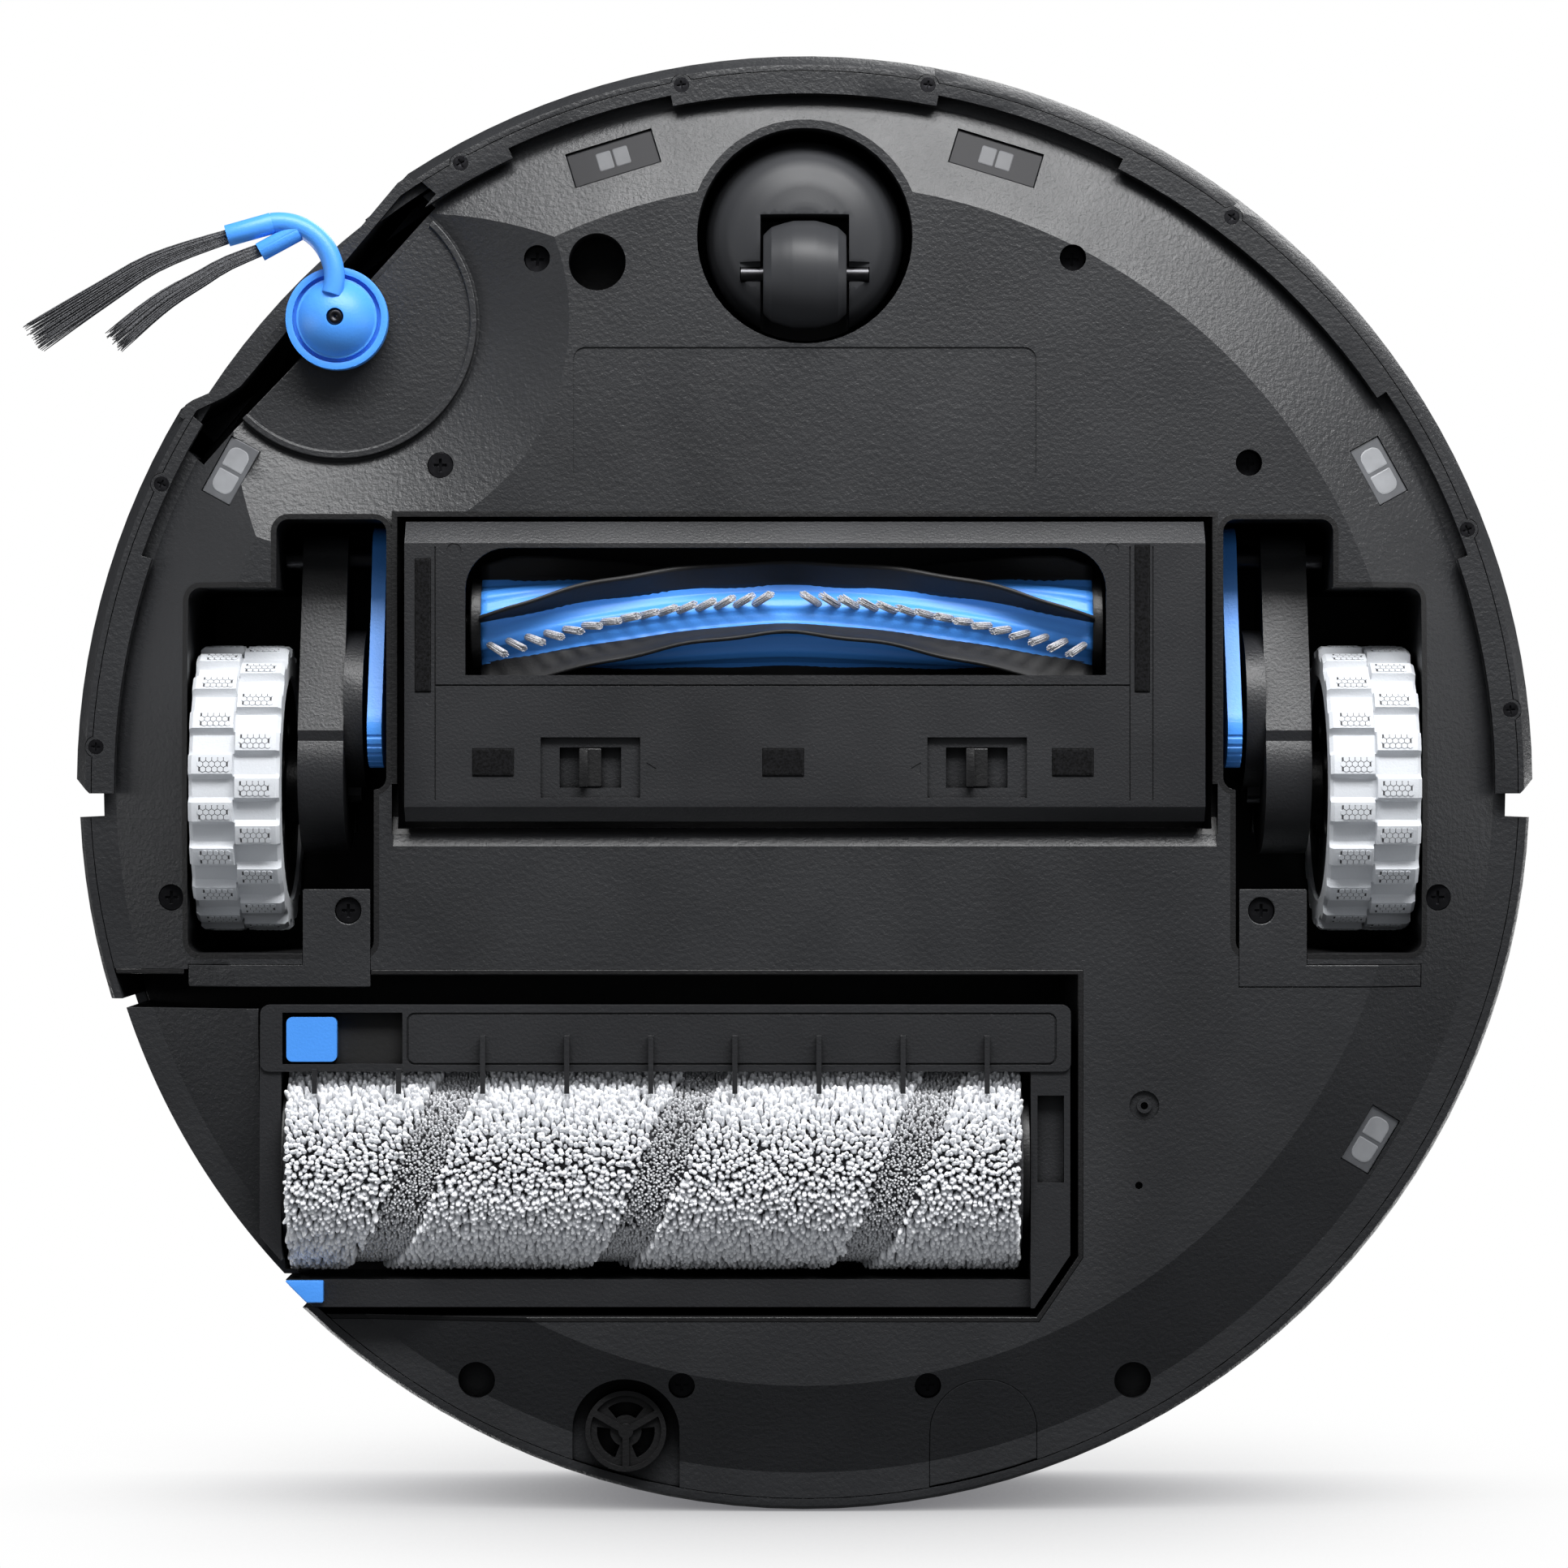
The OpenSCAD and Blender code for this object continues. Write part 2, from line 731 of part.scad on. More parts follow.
module wheel_hub(left) {
    color(dark) on_side(left) difference() {
        union() {
            x_rod([-146.6, -tyre_x - 0.8], wheel_y, wheel_z, tyre_d / 2 - 8);
            x_rod([-tyre_x - 0.8, -123.2], wheel_y, wheel_z, 9);
        }
        x_rod([-200, -144.5], wheel_y, wheel_z, tyre_d / 2 - 11);
        x_rod([-145, -100], wheel_y, wheel_z, axle_r);
        x_rod([-160, -100], wheel_y, wheel_z, axle_r - 1);
        for (i = [0 : 5]) translate([0, wheel_y, wheel_z]) rotate([60 * i, 0, 0])
            x_rod([-160, -100], 16, 0, 4);
    }
}

module tyre(left) {
    slot_w = PI * tyre_d / tread_blocks * 0.38;
    color(white) on_side(left) difference() {
        x_rod([-tyre_x - tyre_w, -tyre_x], wheel_y, wheel_z, tyre_d / 2);
        x_rod([-160, -100], wheel_y, wheel_z, tyre_d / 2 - 8);
        for (row = [0, 1], i = [0 : tread_blocks - 1])
            translate([-tyre_x - (row + 1) * tyre_w / 2, wheel_y, wheel_z])
                rotate([(i + row / 2) * 360 / tread_blocks, 0, 0])
                    slab([-eps, tyre_w / 2 + eps], [-slot_w / 2, slot_w / 2],
                        [tyre_d / 2 - 1.5, tyre_d / 2 + 2]);
    }
}

module leg_2d() {
    circle_at(pivot_y, pivot_z, 7.5);
    circle_at(toe_y, toe_z, 9);
    polygon([[pivot_y, pivot_z + 7.5], [pivot_y + 22, pivot_z + 7], [toe_y + 5, toe_z + 7.5],
        [toe_y - 2, toe_z - 8.8], [pivot_y + 14, pivot_z - 12], [pivot_y - 2, pivot_z - 7.2]]);
}

module leg(left) {
    color(blue) on_side(left) difference() {
        yz_plate(-leg_x - leg_t, leg_t) leg_2d();
        x_rod([-130, -90], pivot_y, pivot_z, pin_r + run_fit);
        // teeth along the toe
        for (i = [0 : 5])
            x_rod([-130, -90], toe_y + 9.4 * cos(15 * i - 80), toe_z + 9.4 * sin(15 * i - 80), 0.7);
    }
}

// ---------- caster ----------
module caster_fork() {
    color(dark) translate([0, caster_y, 0]) difference() {
        union() {
            rotate_extrude() polygon([[0, 8.5], [7, 8.8], [13, 10], [18, 12.2], [21.6, 15.4], [23.9, 20],
                [23.9, 30], [21, 34], [0, 34]]);
            translate([0, 0, 34 - eps]) cylinder(r = 4, h = 14);
        }
        slab([-10.7, 10.7], [caster_trail - 14.2, caster_trail + 20], [-1, 27.5]);
        x_rod([-15.6, 15.6], caster_trail, caster_axle_z, 2);
        slab([-15.6, 15.6], [caster_trail - 2.9, caster_trail + 2.9], [-1, caster_axle_z - 1]);
    }
}

module caster_axle() {
    color(steel) x_rod([-15.4, 15.4], caster_y + caster_trail, caster_axle_z, 1.95);
}

module caster_wheel() {
    color(dark) translate([0, caster_y + caster_trail, caster_axle_z]) rotate([0, 90, 0]) difference() {
        rotate_extrude() polygon([[2, -10], [9.5, -10], [11.4, -8], [12.4, -5], [caster_wheel_d / 2, -2.6],
            [caster_wheel_d / 2, 2.6], [12.4, 5], [11.4, 8], [9.5, 10], [2, 10]]);
        cylinder(r = 2, h = 40, center = true);
    }
}

// ---------- side brush ----------
module side_brush_hub() {
    dome_r = 9.7;
    dome_h = 6.4;
    ball_r = (dome_r * dome_r + dome_h * dome_h) / (2 * dome_h);
    color(blue) translate([side_x, side_y, 0]) {
        difference() {
            union() {
                difference() {
                    disc(hub_r, [9, 13.4], 96);
                    ring(dome_r + 1, dome_r, [8, 11]);
                }
                // dome inside the rim
                intersection() {
                    translate([0, 0, 3.6 + ball_r]) sphere(r = ball_r);
                    disc(dome_r, [0, 11], 96);
                }
                translate([0, 0, 13.4 - eps]) cylinder(r = 4.6, h = 6);
            }
            cylinder(r = 2.1, h = 6);
        }
        // arm that curls out of the dome
        translate([-13.5, -9.5, arm_z]) rotate([0, 0, -98]) rotate_extrude(angle = 115)
            translate([arm_r, 0]) circle(r = 2.5);
        sleeves();
    }
}

module sleeves() {
    tube_between([-15.2, -22.6, arm_z], [-26, -19.5, arm_z - 0.4], 2.6);
    tube_between([-9, -20.6, arm_z], [-18.1, -15.6, arm_z - 0.4], 2.3);
}

function length_of(v) = sqrt(v * v);

module tube_between(a, b, r) {
    v = b - a;
    translate(a) rotate([0, acos(v[2] / length_of(v)), atan2(v[1], v[0])])
        cylinder(r = r, h = length_of(v), $fn = 32);
}

// Two tufts as flat strips in three lengths each
module tuft(points, widths) {
    for (i = [0 : len(points) - 2]) {
        v = points[i + 1] - points[i];
        flat = sqrt(v[0] * v[0] + v[1] * v[1]);
        translate(points[i]) rotate([0, -atan2(v[2], flat), atan2(v[1], v[0])])
            slab([0, length_of(v)], [-widths[i] / 2, widths[i] / 2], [-1, 1]);
    }
}

module side_brush_tufts() {
    reach = tuft_reach / 72.8;
    color(dark) translate([side_x, side_y, 0]) difference() {
        union() {
            tuft([[-25.6, -19.6, 5.9], [-50.3, -9.2, 3.7], [-72.6 * reach, 6, 1.5]], [3, 5.4]);
            tuft([[-17.8, -15.8, 5.9], [-36, -6.9, 4.5], [-52.8 * reach, 6.4, 2.8]], [2.8, 4.8]);
        }
        sleeves();
    }
}

// ---------- main brush ----------
module brush_halves() {
    translate([brush_mid, brush_y, brush_z]) for (flip = [0, 1])
        mirror([flip, 0, 0]) rotate([0, 90, 0]) children();
}

module brush_core() {
    color(blue) {
        x_rod([brush_mid - brush_half, brush_mid + brush_half], brush_y, brush_z, brush_core_r);
        for (flip = [0, 1]) translate([brush_mid, 0, 0]) mirror([flip, 0, 0]) {
            x_rod([brush_half - eps, brush_half + 2.4], brush_y, brush_z, 11.5);
            x_rod([brush_half + 2.4 - eps, brush_half + 17], brush_y, brush_z, 4);
        }
    }
}

module blade(r0, r1, t, steps) {
    linear_extrude(brush_half, twist = -fin_twist, slices = steps, segments = 4)
        translate([r0, -t / 2]) square([r1 - r0, t]);
}

module brush_fins() {
    color(dark) difference() {
        brush_halves() for (i = [0 : fin_count - 1]) rotate([0, 0, i * 360 / fin_count + 10])
            blade(brush_core_r - 1, fin_r, 1.8, 10);
        x_rod([-100, 100], brush_y, brush_z, brush_core_r);
    }
}

module brush_tufts() {
    // in two of the gaps between the fins
    color(grey) difference() {
        brush_halves() for (i = [1, 4]) rotate([0, 0, (i + 0.5) * 360 / fin_count + 10])
            blade(brush_core_r - 1, fin_r - 0.4, 1.6, 10);
        x_rod([-100, 100], brush_y, brush_z, brush_core_r);
    }
}

module brush_cover() {
    front = -63.2;
    rear = 9;
    color(charcoal) difference() {
        union() {
            translate([-96.1, 0, 0]) rotate([90, 0, 90]) linear_extrude(192.2) polygon([[front, 12],
                [front, 10.6], [-57.8, cover_z], [5.5, cover_z], [rear, 8], [rear, 12], [rear - cover_t, 12],
                [rear - cover_t, 8.9], [4.9, cover_z + cover_t],
                [-57.1, cover_z + cover_t], [front + cover_t, 11.2],
                [front + cover_t, 12]]);
            for (x = [-96.1, 94.5]) translate([x, 0, 0]) rotate([90, 0, 90]) linear_extrude(1.6)
                polygon([
                    [front, 12], [front, 10.6], [-57.8, cover_z], [5.5, cover_z], [rear, 8], [rear, 12]
                ]);
            // trays under the two latches
            for (x = latch_x) slab([x - 13, x + 13], [-12.4, 4.5], [cover_z + 0.4, cover_z + 5]);
        }
        // mouth with its two front corners rounded
        intersection() {
            rounded_slab(mouth[0], [mouth[1][0], mouth[1][1] + 14], [-1, 40], 10);
            slab(mouth[0], mouth[1], [-2, 41]);
        }
        for (x = latch_x) {
            slab([x - 11.9, x + 12], [-11.2, 3.3], [cover_z - 1, cover_z + 1.4]);
            slab([x - 7.4, x + 7.4], [-8.8, 0.9], [cover_z - 1, cover_z + 3.6]);
        }
        for (x = felt_pad_x) slab([x - 5, x + 5], [-8.6, -1.8], [cover_z - 1, cover_z + 0.4]);
        slab([-93.6, -89.7], [-54.2, -22], [cover_z - 1, cover_z + 0.4]);
        slab([79.1, 82.8], [-57.4, -22], [cover_z - 1, cover_z + 0.4]);
        // ejector marks, and pointers to the latches
        for (x = [-84.2, 73.6]) translate([x, -56, cover_z - 1]) cylinder(r = 1.8, h = 1.2, $fn = 48);
        for (side = [-1, 1]) translate([side < 0 ? -38 : 27.8, -3.7, cover_z - 1]) linear_extrude(1.2)
            polygon([[0, -1.5], [0, 1.5], [-side * 2.5, 0]]);
        // seams
        for (x = [-88.7, 78, 83.5]) slab([x - 0.15, x + 0.15], [-57, 4], [cover_z - 1, cover_z + 0.3]);
        slab([-88.7, 78], [-23.9, -23.5], [cover_z - 1, cover_z + 0.5]);
    }
}

latch_x = [-51.5, 41.3];
felt_pad_x = [-74.8, -5.2, 64.3];

module cover_felts() {
    color(dark) {
        for (x = felt_pad_x) slab([x - 4.9, x + 4.9], [-8.5, -1.9], [cover_z - 0.5, cover_z + 0.4]);
        slab([-93.5, -89.8], [-54.1, -22.1], [cover_z - 0.5, cover_z + 0.4]);
        slab([79.2, 82.7], [-57.3, -22.1], [cover_z - 0.5, cover_z + 0.4]);
    }
}

module latch(x) {
    color(dark) {
        slab([x - 2.6, x + 2.6], [-8.6, 0.7], [cover_z + 1, cover_z + 3.5]);
        slab([x - 2.6, x - 0.6], [-8.6, 0.7], [cover_z - 0.6, cover_z + 1 + eps]);
    }
}

// ---------- mop ----------
module mop_frame() {
    bar_z = [8.4, 13];
    color(dark) difference() {
        union() {
            rounded_slab([-131, 64], [53.2, 69.2], bar_z, 2);
            intersection() {
                slab([-131.2, -126], [58, frame_rear], [9, 56]);
                disc(panel_inner_r - 0.4, [0, 60]);
            }
            slab([54.4, 63.9], [60, frame_rear], [9, 44]);
            intersection() {
                slab([-131, 63.9], [119.6, frame_rear], [12.4, 40]);
                disc(base_r, [0, 60]);
            }
            // comb that dresses the pile
            for (i = [0 : 8]) translate([-117.8 + 20.2 * i, 0, 0]) {
                slab([-0.6, 0.6], [i < 2 ? 68.5 : 60.5, 74.4], [6.1, 7.4]);
                slab([-0.6, 0.6], [i < 2 ? 68.5 : 60.5, 69.2], [7.3, 9]);
            }
            // cheek that carries the side panel
            slab([-136, -131.1], [56, 100], [23, 50]);
        }
        // pocket of the release button, and a seam round the bar
        slab([-125.7, -96.8], [55, 67.4], [7, 11.4]);
        difference() {
            rounded_slab([-95.8, 60.6], [55, 67.6], [bar_z[0] - 1, bar_z[0] + 0.4], 2);
            rounded_slab([-95.3, 60.1], [55.5, 67.1], [0, 20], 1.6);
        }
        // roller journals
        x_rod([-200, 200], mop_y, mop_z, 5 + run_fit);
        slab([56, 62.4], [75, 96], [7, 12]);
        // slanted corner
        translate([64.5, 112.5, 0]) rotate([0, 0, 34]) slab([0, 20], [-20, 40], [0, 60]);
    }
}

module mop_side_panel() {
    color(charcoal) union() {
        intersection() {
            difference() {
                above_belly(base_r, mop_bay_top - 1);
                translate([0, 0, shell_t]) above_belly(panel_inner_r, 100);
                // room for the end of the pile
                x_rod([-126, -100], mop_y, mop_z, mop_r + 0.3);
            }
            union() {
                slab([-190, -131.6], [panel_y[0], 112], [0, 100]);
                // the outer wall runs on round the end of the roller
                difference() {
                    slab([-190, -100], [100, panel_y[1]], [0, 100]);
                    disc(panel_inner_r - 0.3, [-1, 101]);
                }
            }
        }
        // inner rib that meets the frame's cheek
        slab([-139, -136], [58, 98], [20, 48]);
    }
}

module mop_tag() {
    color(blue) intersection() {
        slab([-130, -116], [119.7, 124.9], [9.2, 12.3]);
        disc(base_r, [0, 60]);
    }
}

module mop_motor() {
    color(steel) x_rod([-153, -139.1], 66, 34, 9);
}

module mop_core() {
    color(dark) {
        x_rod([mop_x[0], mop_x[1]], mop_y, mop_z, 13);
        x_rod([mop_x[0] - 0.6, mop_x[0] + eps], mop_y, mop_z, 22);
        x_rod([mop_x[1] - eps, mop_x[1] + 1.6], mop_y, mop_z, 20);
        x_rod([mop_x[0] - 6, mop_x[0]], mop_y, mop_z, 5);
        x_rod([mop_x[1], 62], mop_y, mop_z, 5);
    }
}

module mop_pile() {
    color(white) difference() {
        x_rod([mop_x[0] + 0.1, mop_x[1] - 0.1], mop_y, mop_z, mop_r);
        x_rod([-200, 200], mop_y, mop_z, 13);
    }
}

module mop_button() {
    color(blue) rounded_slab([-124.7, -112.6], [56.1, 66.8], [8.2, 11.3], 1.4);
}

base_shell();
wheel_housing(true);  // left_wheel_housing
wheel_housing(false);  // right_wheel_housing
brush_housing();
mop_housing();
upper_shell();
well_cover(true);  // left_well_cover
well_cover(false);  // right_well_cover
side_brush_plate();
chassis_screws();
front_cliff_windows();
side_cliff_windows();
water_port();
port_blank();
charge_contacts();
pivot_pins();
battery();
main_board();
suction_fan();
dust_bin();
clean_tank();
dirty_tank();
brush_motor();
side_brush_motor();
front_sensor();
top_cover();
start_button();
bumper_shell();
bumper_retainer();
bumper_screws();
sensor_window();
wheel_arm(true);  // left_arm
wheel_axle(true);  // left_axle
wheel_hub(true);  // left_hub
tyre(true);  // left_tyre
leg(true);  // left_leg
wheel_arm(false);  // right_arm
wheel_axle(false);  // right_axle
wheel_hub(false);  // right_hub
tyre(false);  // right_tyre
leg(false);  // right_leg
caster_fork();
caster_axle();
caster_wheel();
side_brush_hub();
side_brush_tufts();
brush_core();
brush_fins();
brush_tufts();
brush_cover();
cover_felts();
latch(latch_x[1]);  // left_latch
latch(latch_x[0]);  // right_latch
mop_frame();
mop_side_panel();
mop_tag();
mop_motor();
mop_core();
mop_pile();
mop_button();
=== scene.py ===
"""Looks of a round robot vacuum, seen from below as it stands on its rear rim."""

import json
import math
import random

import bpy
import numpy as np
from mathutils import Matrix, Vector


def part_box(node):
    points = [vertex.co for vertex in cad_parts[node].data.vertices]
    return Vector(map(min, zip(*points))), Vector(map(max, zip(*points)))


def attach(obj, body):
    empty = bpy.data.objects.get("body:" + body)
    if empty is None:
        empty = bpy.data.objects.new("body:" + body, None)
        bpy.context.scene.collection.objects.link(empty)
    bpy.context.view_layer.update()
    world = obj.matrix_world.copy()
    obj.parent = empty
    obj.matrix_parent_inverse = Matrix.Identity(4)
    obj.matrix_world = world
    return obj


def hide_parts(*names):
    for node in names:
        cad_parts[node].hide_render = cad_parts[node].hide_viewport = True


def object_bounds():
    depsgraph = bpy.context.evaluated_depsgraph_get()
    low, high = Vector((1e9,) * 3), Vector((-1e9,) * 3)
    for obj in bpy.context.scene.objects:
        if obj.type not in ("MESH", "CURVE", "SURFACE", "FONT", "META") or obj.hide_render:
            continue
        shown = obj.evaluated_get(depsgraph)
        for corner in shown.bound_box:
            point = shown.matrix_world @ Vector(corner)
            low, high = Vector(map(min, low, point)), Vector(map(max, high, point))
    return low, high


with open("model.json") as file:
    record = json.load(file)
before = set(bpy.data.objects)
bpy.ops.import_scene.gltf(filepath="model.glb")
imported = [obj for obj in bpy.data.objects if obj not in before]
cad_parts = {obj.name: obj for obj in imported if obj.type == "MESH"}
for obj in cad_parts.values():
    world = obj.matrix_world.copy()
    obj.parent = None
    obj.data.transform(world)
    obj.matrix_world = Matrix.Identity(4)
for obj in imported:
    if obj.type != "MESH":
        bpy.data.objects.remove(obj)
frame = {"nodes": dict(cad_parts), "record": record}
cad_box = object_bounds()
NODES = frame["nodes"]
MM = 0.001
TAU = 2 * math.pi
random.seed(7)
rng = np.random.default_rng(7)


# ---------------------------------------------------------------- materials
def new_material(name):
    """A material with its node tree and its main shader."""
    material = bpy.data.materials.new(name)
    material.use_nodes = True
    tree = material.node_tree
    return material, tree, tree.nodes["Principled BSDF"]


def add(tree, kind, **values):
    """A new shader node with some of its settings."""
    node = tree.nodes.new(kind)
    for key, value in values.items():
        setattr(node, key, value)
    return node


def noise(tree, scale, detail=3.0, rough=0.55):
    """A noise texture in the model's own metres."""
    place = add(tree, "ShaderNodeTexCoord")
    tex = add(tree, "ShaderNodeTexNoise")
    tex.inputs["Scale"].default_value = scale
    tex.inputs["Detail"].default_value = detail
    tex.inputs["Roughness"].default_value = rough
    tree.links.new(place.outputs["Object"], tex.inputs["Vector"])
    return tex


def ramp(tree, source, stops):
    """Turns a number into a colour, through (position, colour) stops."""
    node = add(tree, "ShaderNodeValToRGB")
    elements = node.color_ramp.elements
    while len(elements) < len(stops):
        elements.new(0.5)
    for element, (position, colour) in zip(elements, stops):
        element.position = position
        element.color = (*colour, 1)
    tree.links.new(source, node.inputs["Fac"])
    return node


def spread(tree, source, low, high):
    """Maps 0 to 1 onto low to high."""
    node = add(tree, "ShaderNodeMapRange")
    node.inputs["To Min"].default_value = low
    node.inputs["To Max"].default_value = high
    tree.links.new(source, node.inputs["Value"])
    return node


def bump(tree, shader, source, distance, under=None):
    """Relief of a real height in metres, laid over the relief under it."""
    node = add(tree, "ShaderNodeBump")
    node.inputs["Strength"].default_value = 1.0
    node.inputs["Distance"].default_value = distance
    tree.links.new(source, node.inputs["Height"])
    if under:
        tree.links.new(under.outputs["Normal"], node.inputs["Normal"])
    tree.links.new(node.outputs["Normal"], shader.inputs["Normal"])
    return node


def scaled(colour, factor):
    """A lighter or darker version of a colour."""
    return tuple(c * factor for c in colour)


def paint_recess_shade(tree, tone, shader, reach):
    """Painted shade: base colour and shine are darkened by ambient occlusion where other surfaces stand
    close by.
    """
    near = add(tree, "ShaderNodeAmbientOcclusion", samples=6)
    near.inputs["Distance"].default_value = reach
    open_sky = add(tree, "ShaderNodeMapRange", interpolation_type="SMOOTHSTEP")
    open_sky.inputs["From Min"].default_value = 0.12
    open_sky.inputs["From Max"].default_value = 0.62
    tree.links.new(near.outputs["AO"], open_sky.inputs["Value"])
    shade = add(tree, "ShaderNodeVectorMath", operation="SCALE")
    tree.links.new(tone.outputs["Color"], shade.inputs["Vector"])
    tree.links.new(open_sky.outputs["Result"], shade.inputs["Scale"])
    tree.links.new(shade.outputs["Vector"], shader.inputs["Base Color"])
    shine = spread(tree, open_sky.outputs["Result"], 0.02, 0.5)
    tree.links.new(shine.outputs["Result"], shader.inputs["Specular IOR Level"])


def moulded(name, colour, rough, grain, depth, mottle=0.12, reach=0.0, shine=0.5):
    """Moulded plastic with a spark-eroded grain, slight mottling and handled patches, and, with a reach,
    painted shade in its recesses.
    """
    material, tree, shader = new_material(name)
    cloud = noise(tree, 30, 2.0)
    stops = [(0.3, scaled(colour, 1 - mottle)), (0.7, scaled(colour, 1 + mottle))]
    tone = ramp(tree, cloud.outputs["Fac"], stops)
    tree.links.new(tone.outputs["Color"], shader.inputs["Base Color"])
    handled = noise(tree, 55, 4.0)
    gloss = spread(tree, handled.outputs["Fac"], rough - 0.08, rough + 0.08)
    tree.links.new(gloss.outputs["Result"], shader.inputs["Roughness"])
    coarse = noise(tree, grain, 2.0, 0.5)
    fine = noise(tree, grain * 3.1, 2.0, 0.6)
    first = bump(tree, shader, coarse.outputs["Fac"], depth)
    bump(tree, shader, fine.outputs["Fac"], depth * 0.4, first)
    shader.inputs["Specular IOR Level"].default_value = shine
    # painted shade: with a reach, colour and shine darken where other surfaces stand close by
    if reach:
        paint_recess_shade(tree, tone, shader, reach)
    return material


def fibre(name, colour, dark, scale, rough, sheen, shine=0.5):
    """Yarn and bristle: each strand a little lighter or darker than the next."""
    material, tree, shader = new_material(name)
    speck = noise(tree, scale, 2.0)
    tone = ramp(tree, speck.outputs["Fac"], [(0.35, dark), (0.6, colour)])
    tree.links.new(tone.outputs["Color"], shader.inputs["Base Color"])
    twist = noise(tree, scale * 3, 2.0)
    bump(tree, shader, twist.outputs["Fac"], 0.00012)
    gloss = spread(tree, twist.outputs["Fac"], rough - 0.1, rough + 0.1)
    tree.links.new(gloss.outputs["Result"], shader.inputs["Roughness"])
    shader.inputs["Sheen Weight"].default_value = sheen
    shader.inputs["Specular IOR Level"].default_value = shine
    return material


def metal(name, colour, rough):
    """Metal with a fine ground or plated surface."""
    material, tree, shader = new_material(name)
    grind = noise(tree, 900, 3.0)
    tone = ramp(tree, grind.outputs["Fac"], [(0.3, scaled(colour, 0.85)), (0.7, colour)])
    tree.links.new(tone.outputs["Color"], shader.inputs["Base Color"])
    gloss = spread(tree, grind.outputs["Fac"], rough - 0.06, rough + 0.06)
    tree.links.new(gloss.outputs["Result"], shader.inputs["Roughness"])
    shader.inputs["Metallic"].default_value = 1.0
    return material


def window(name, colour, rough, shine):
    """Smooth infrared window over a faintly cloudy body."""
    material, tree, shader = new_material(name)
    haze = noise(tree, 220, 2.0)
    tone = ramp(tree, haze.outputs["Fac"], [(0.3, scaled(colour, 0.9)), (0.7, scaled(colour, 1.08))])
    tree.links.new(tone.outputs["Color"], shader.inputs["Base Color"])
    gloss = spread(tree, haze.outputs["Fac"], rough, rough + 0.04)
    tree.links.new(gloss.outputs["Result"], shader.inputs["Roughness"])
    shader.inputs["Specular IOR Level"].default_value = shine
    return material


# these plastics carry painted shade: colour and shine darken within 12 mm of other surfaces
CHARCOAL = moulded("charcoal_grain", (0.0195, 0.0202, 0.0222), 0.43, 900, 0.00016, reach=0.012)
CHARCOAL_FINE = moulded("charcoal_fine", (0.0175, 0.0180, 0.0200), 0.42, 1400, 0.00010, reach=0.012)
BLACK = moulded("black_grain", (0.0065, 0.0065, 0.0072), 0.46, 1100, 0.00010, reach=0.012)
# near-black painted shade for the floor of the release button's slot, with painted recess shade reaching 20
# mm
SLOT_SHADE_BLACK = moulded("slot_shade_black", (0.003, 0.003, 0.0032), 0.7, 900, 0.00005, reach=0.02)
GLOSS = moulded("dark_gloss", (0.030, 0.031, 0.034), 0.45, 2600, 0.00001, 0.05, shine=0.3)
BLUE = moulded("blue_satin", (0.062, 0.29, 0.84), 0.44, 1500, 0.00005, 0.05)
WHITE_RUBBER = moulded("white_rubber", (0.56, 0.58, 0.61), 0.62, 1600, 0.00006, 0.05)
BLACK_RUBBER = moulded("black_rubber", (0.0075, 0.0075, 0.0082), 0.58, 900, 0.00006, 0.1)
# dark grey painted shade for the grooves between the tread's white hexagons
TREAD_GROOVE_SHADE = moulded("tread_groove_shade", (0.05, 0.05, 0.055), 0.75, 1600, 0.00006)
FELT = fibre("black_felt", (0.008, 0.008, 0.009), (0.002, 0.002, 0.002), 1800, 0.9, 0.05, 0.1)
PILE_WHITE = fibre("pile_white", (0.94, 0.95, 0.97), (0.78, 0.79, 0.82), 900, 0.9, 0.4)
PILE_GREY = fibre("pile_grey", (0.76, 0.77, 0.79), (0.48, 0.48, 0.50), 1200, 0.9, 0.3)
PILE_BASE = fibre("pile_base", (0.05, 0.05, 0.055), (0.015, 0.015, 0.017), 900, 0.95, 0.1)
BRISTLE_GREY = fibre("bristle_grey", (0.62, 0.62, 0.65), (0.30, 0.30, 0.32), 2400, 0.5, 0.1)
BRISTLE_DARK = fibre("bristle_dark", (0.085, 0.087, 0.095), (0.025, 0.025, 0.028), 2400, 0.45, 0.1)
STEEL = metal("ground_steel", (0.60, 0.61, 0.63), 0.32)
SCREW = metal("black_zinc", (0.045, 0.045, 0.05), 0.38)
DARK_STEEL = metal("blackened_steel", (0.07, 0.07, 0.075), 0.34)
WINDOW_DARK = window("infrared_window", (0.012, 0.012, 0.014), 0.40, 0.14)
WINDOW_FRONT = window("front_window", (0.005, 0.005, 0.006), 0.16, 0.5)
WINDOW_CLEAR = window("frosted_window", (0.10, 0.103, 0.11), 0.34, 0.4)
LENS = window("sensor_lens", (0.25, 0.256, 0.268), 0.34, 0.4)
LENS_DARK = window("sensor_lens_dark", (0.10, 0.102, 0.108), 0.40, 0.2)
BOARD = moulded("solder_mask", (0.02, 0.14, 0.05), 0.35, 1500, 0.00003)
WRAP = moulded("shrink_wrap", (0.02, 0.06, 0.16), 0.3, 1500, 0.00003)
TANK = moulded("tank_plastic", (0.45, 0.48, 0.50), 0.3, 1500, 0.00003)
BIN = moulded("smoked_plastic", (0.12, 0.125, 0.13), 0.25, 1500, 0.00003)

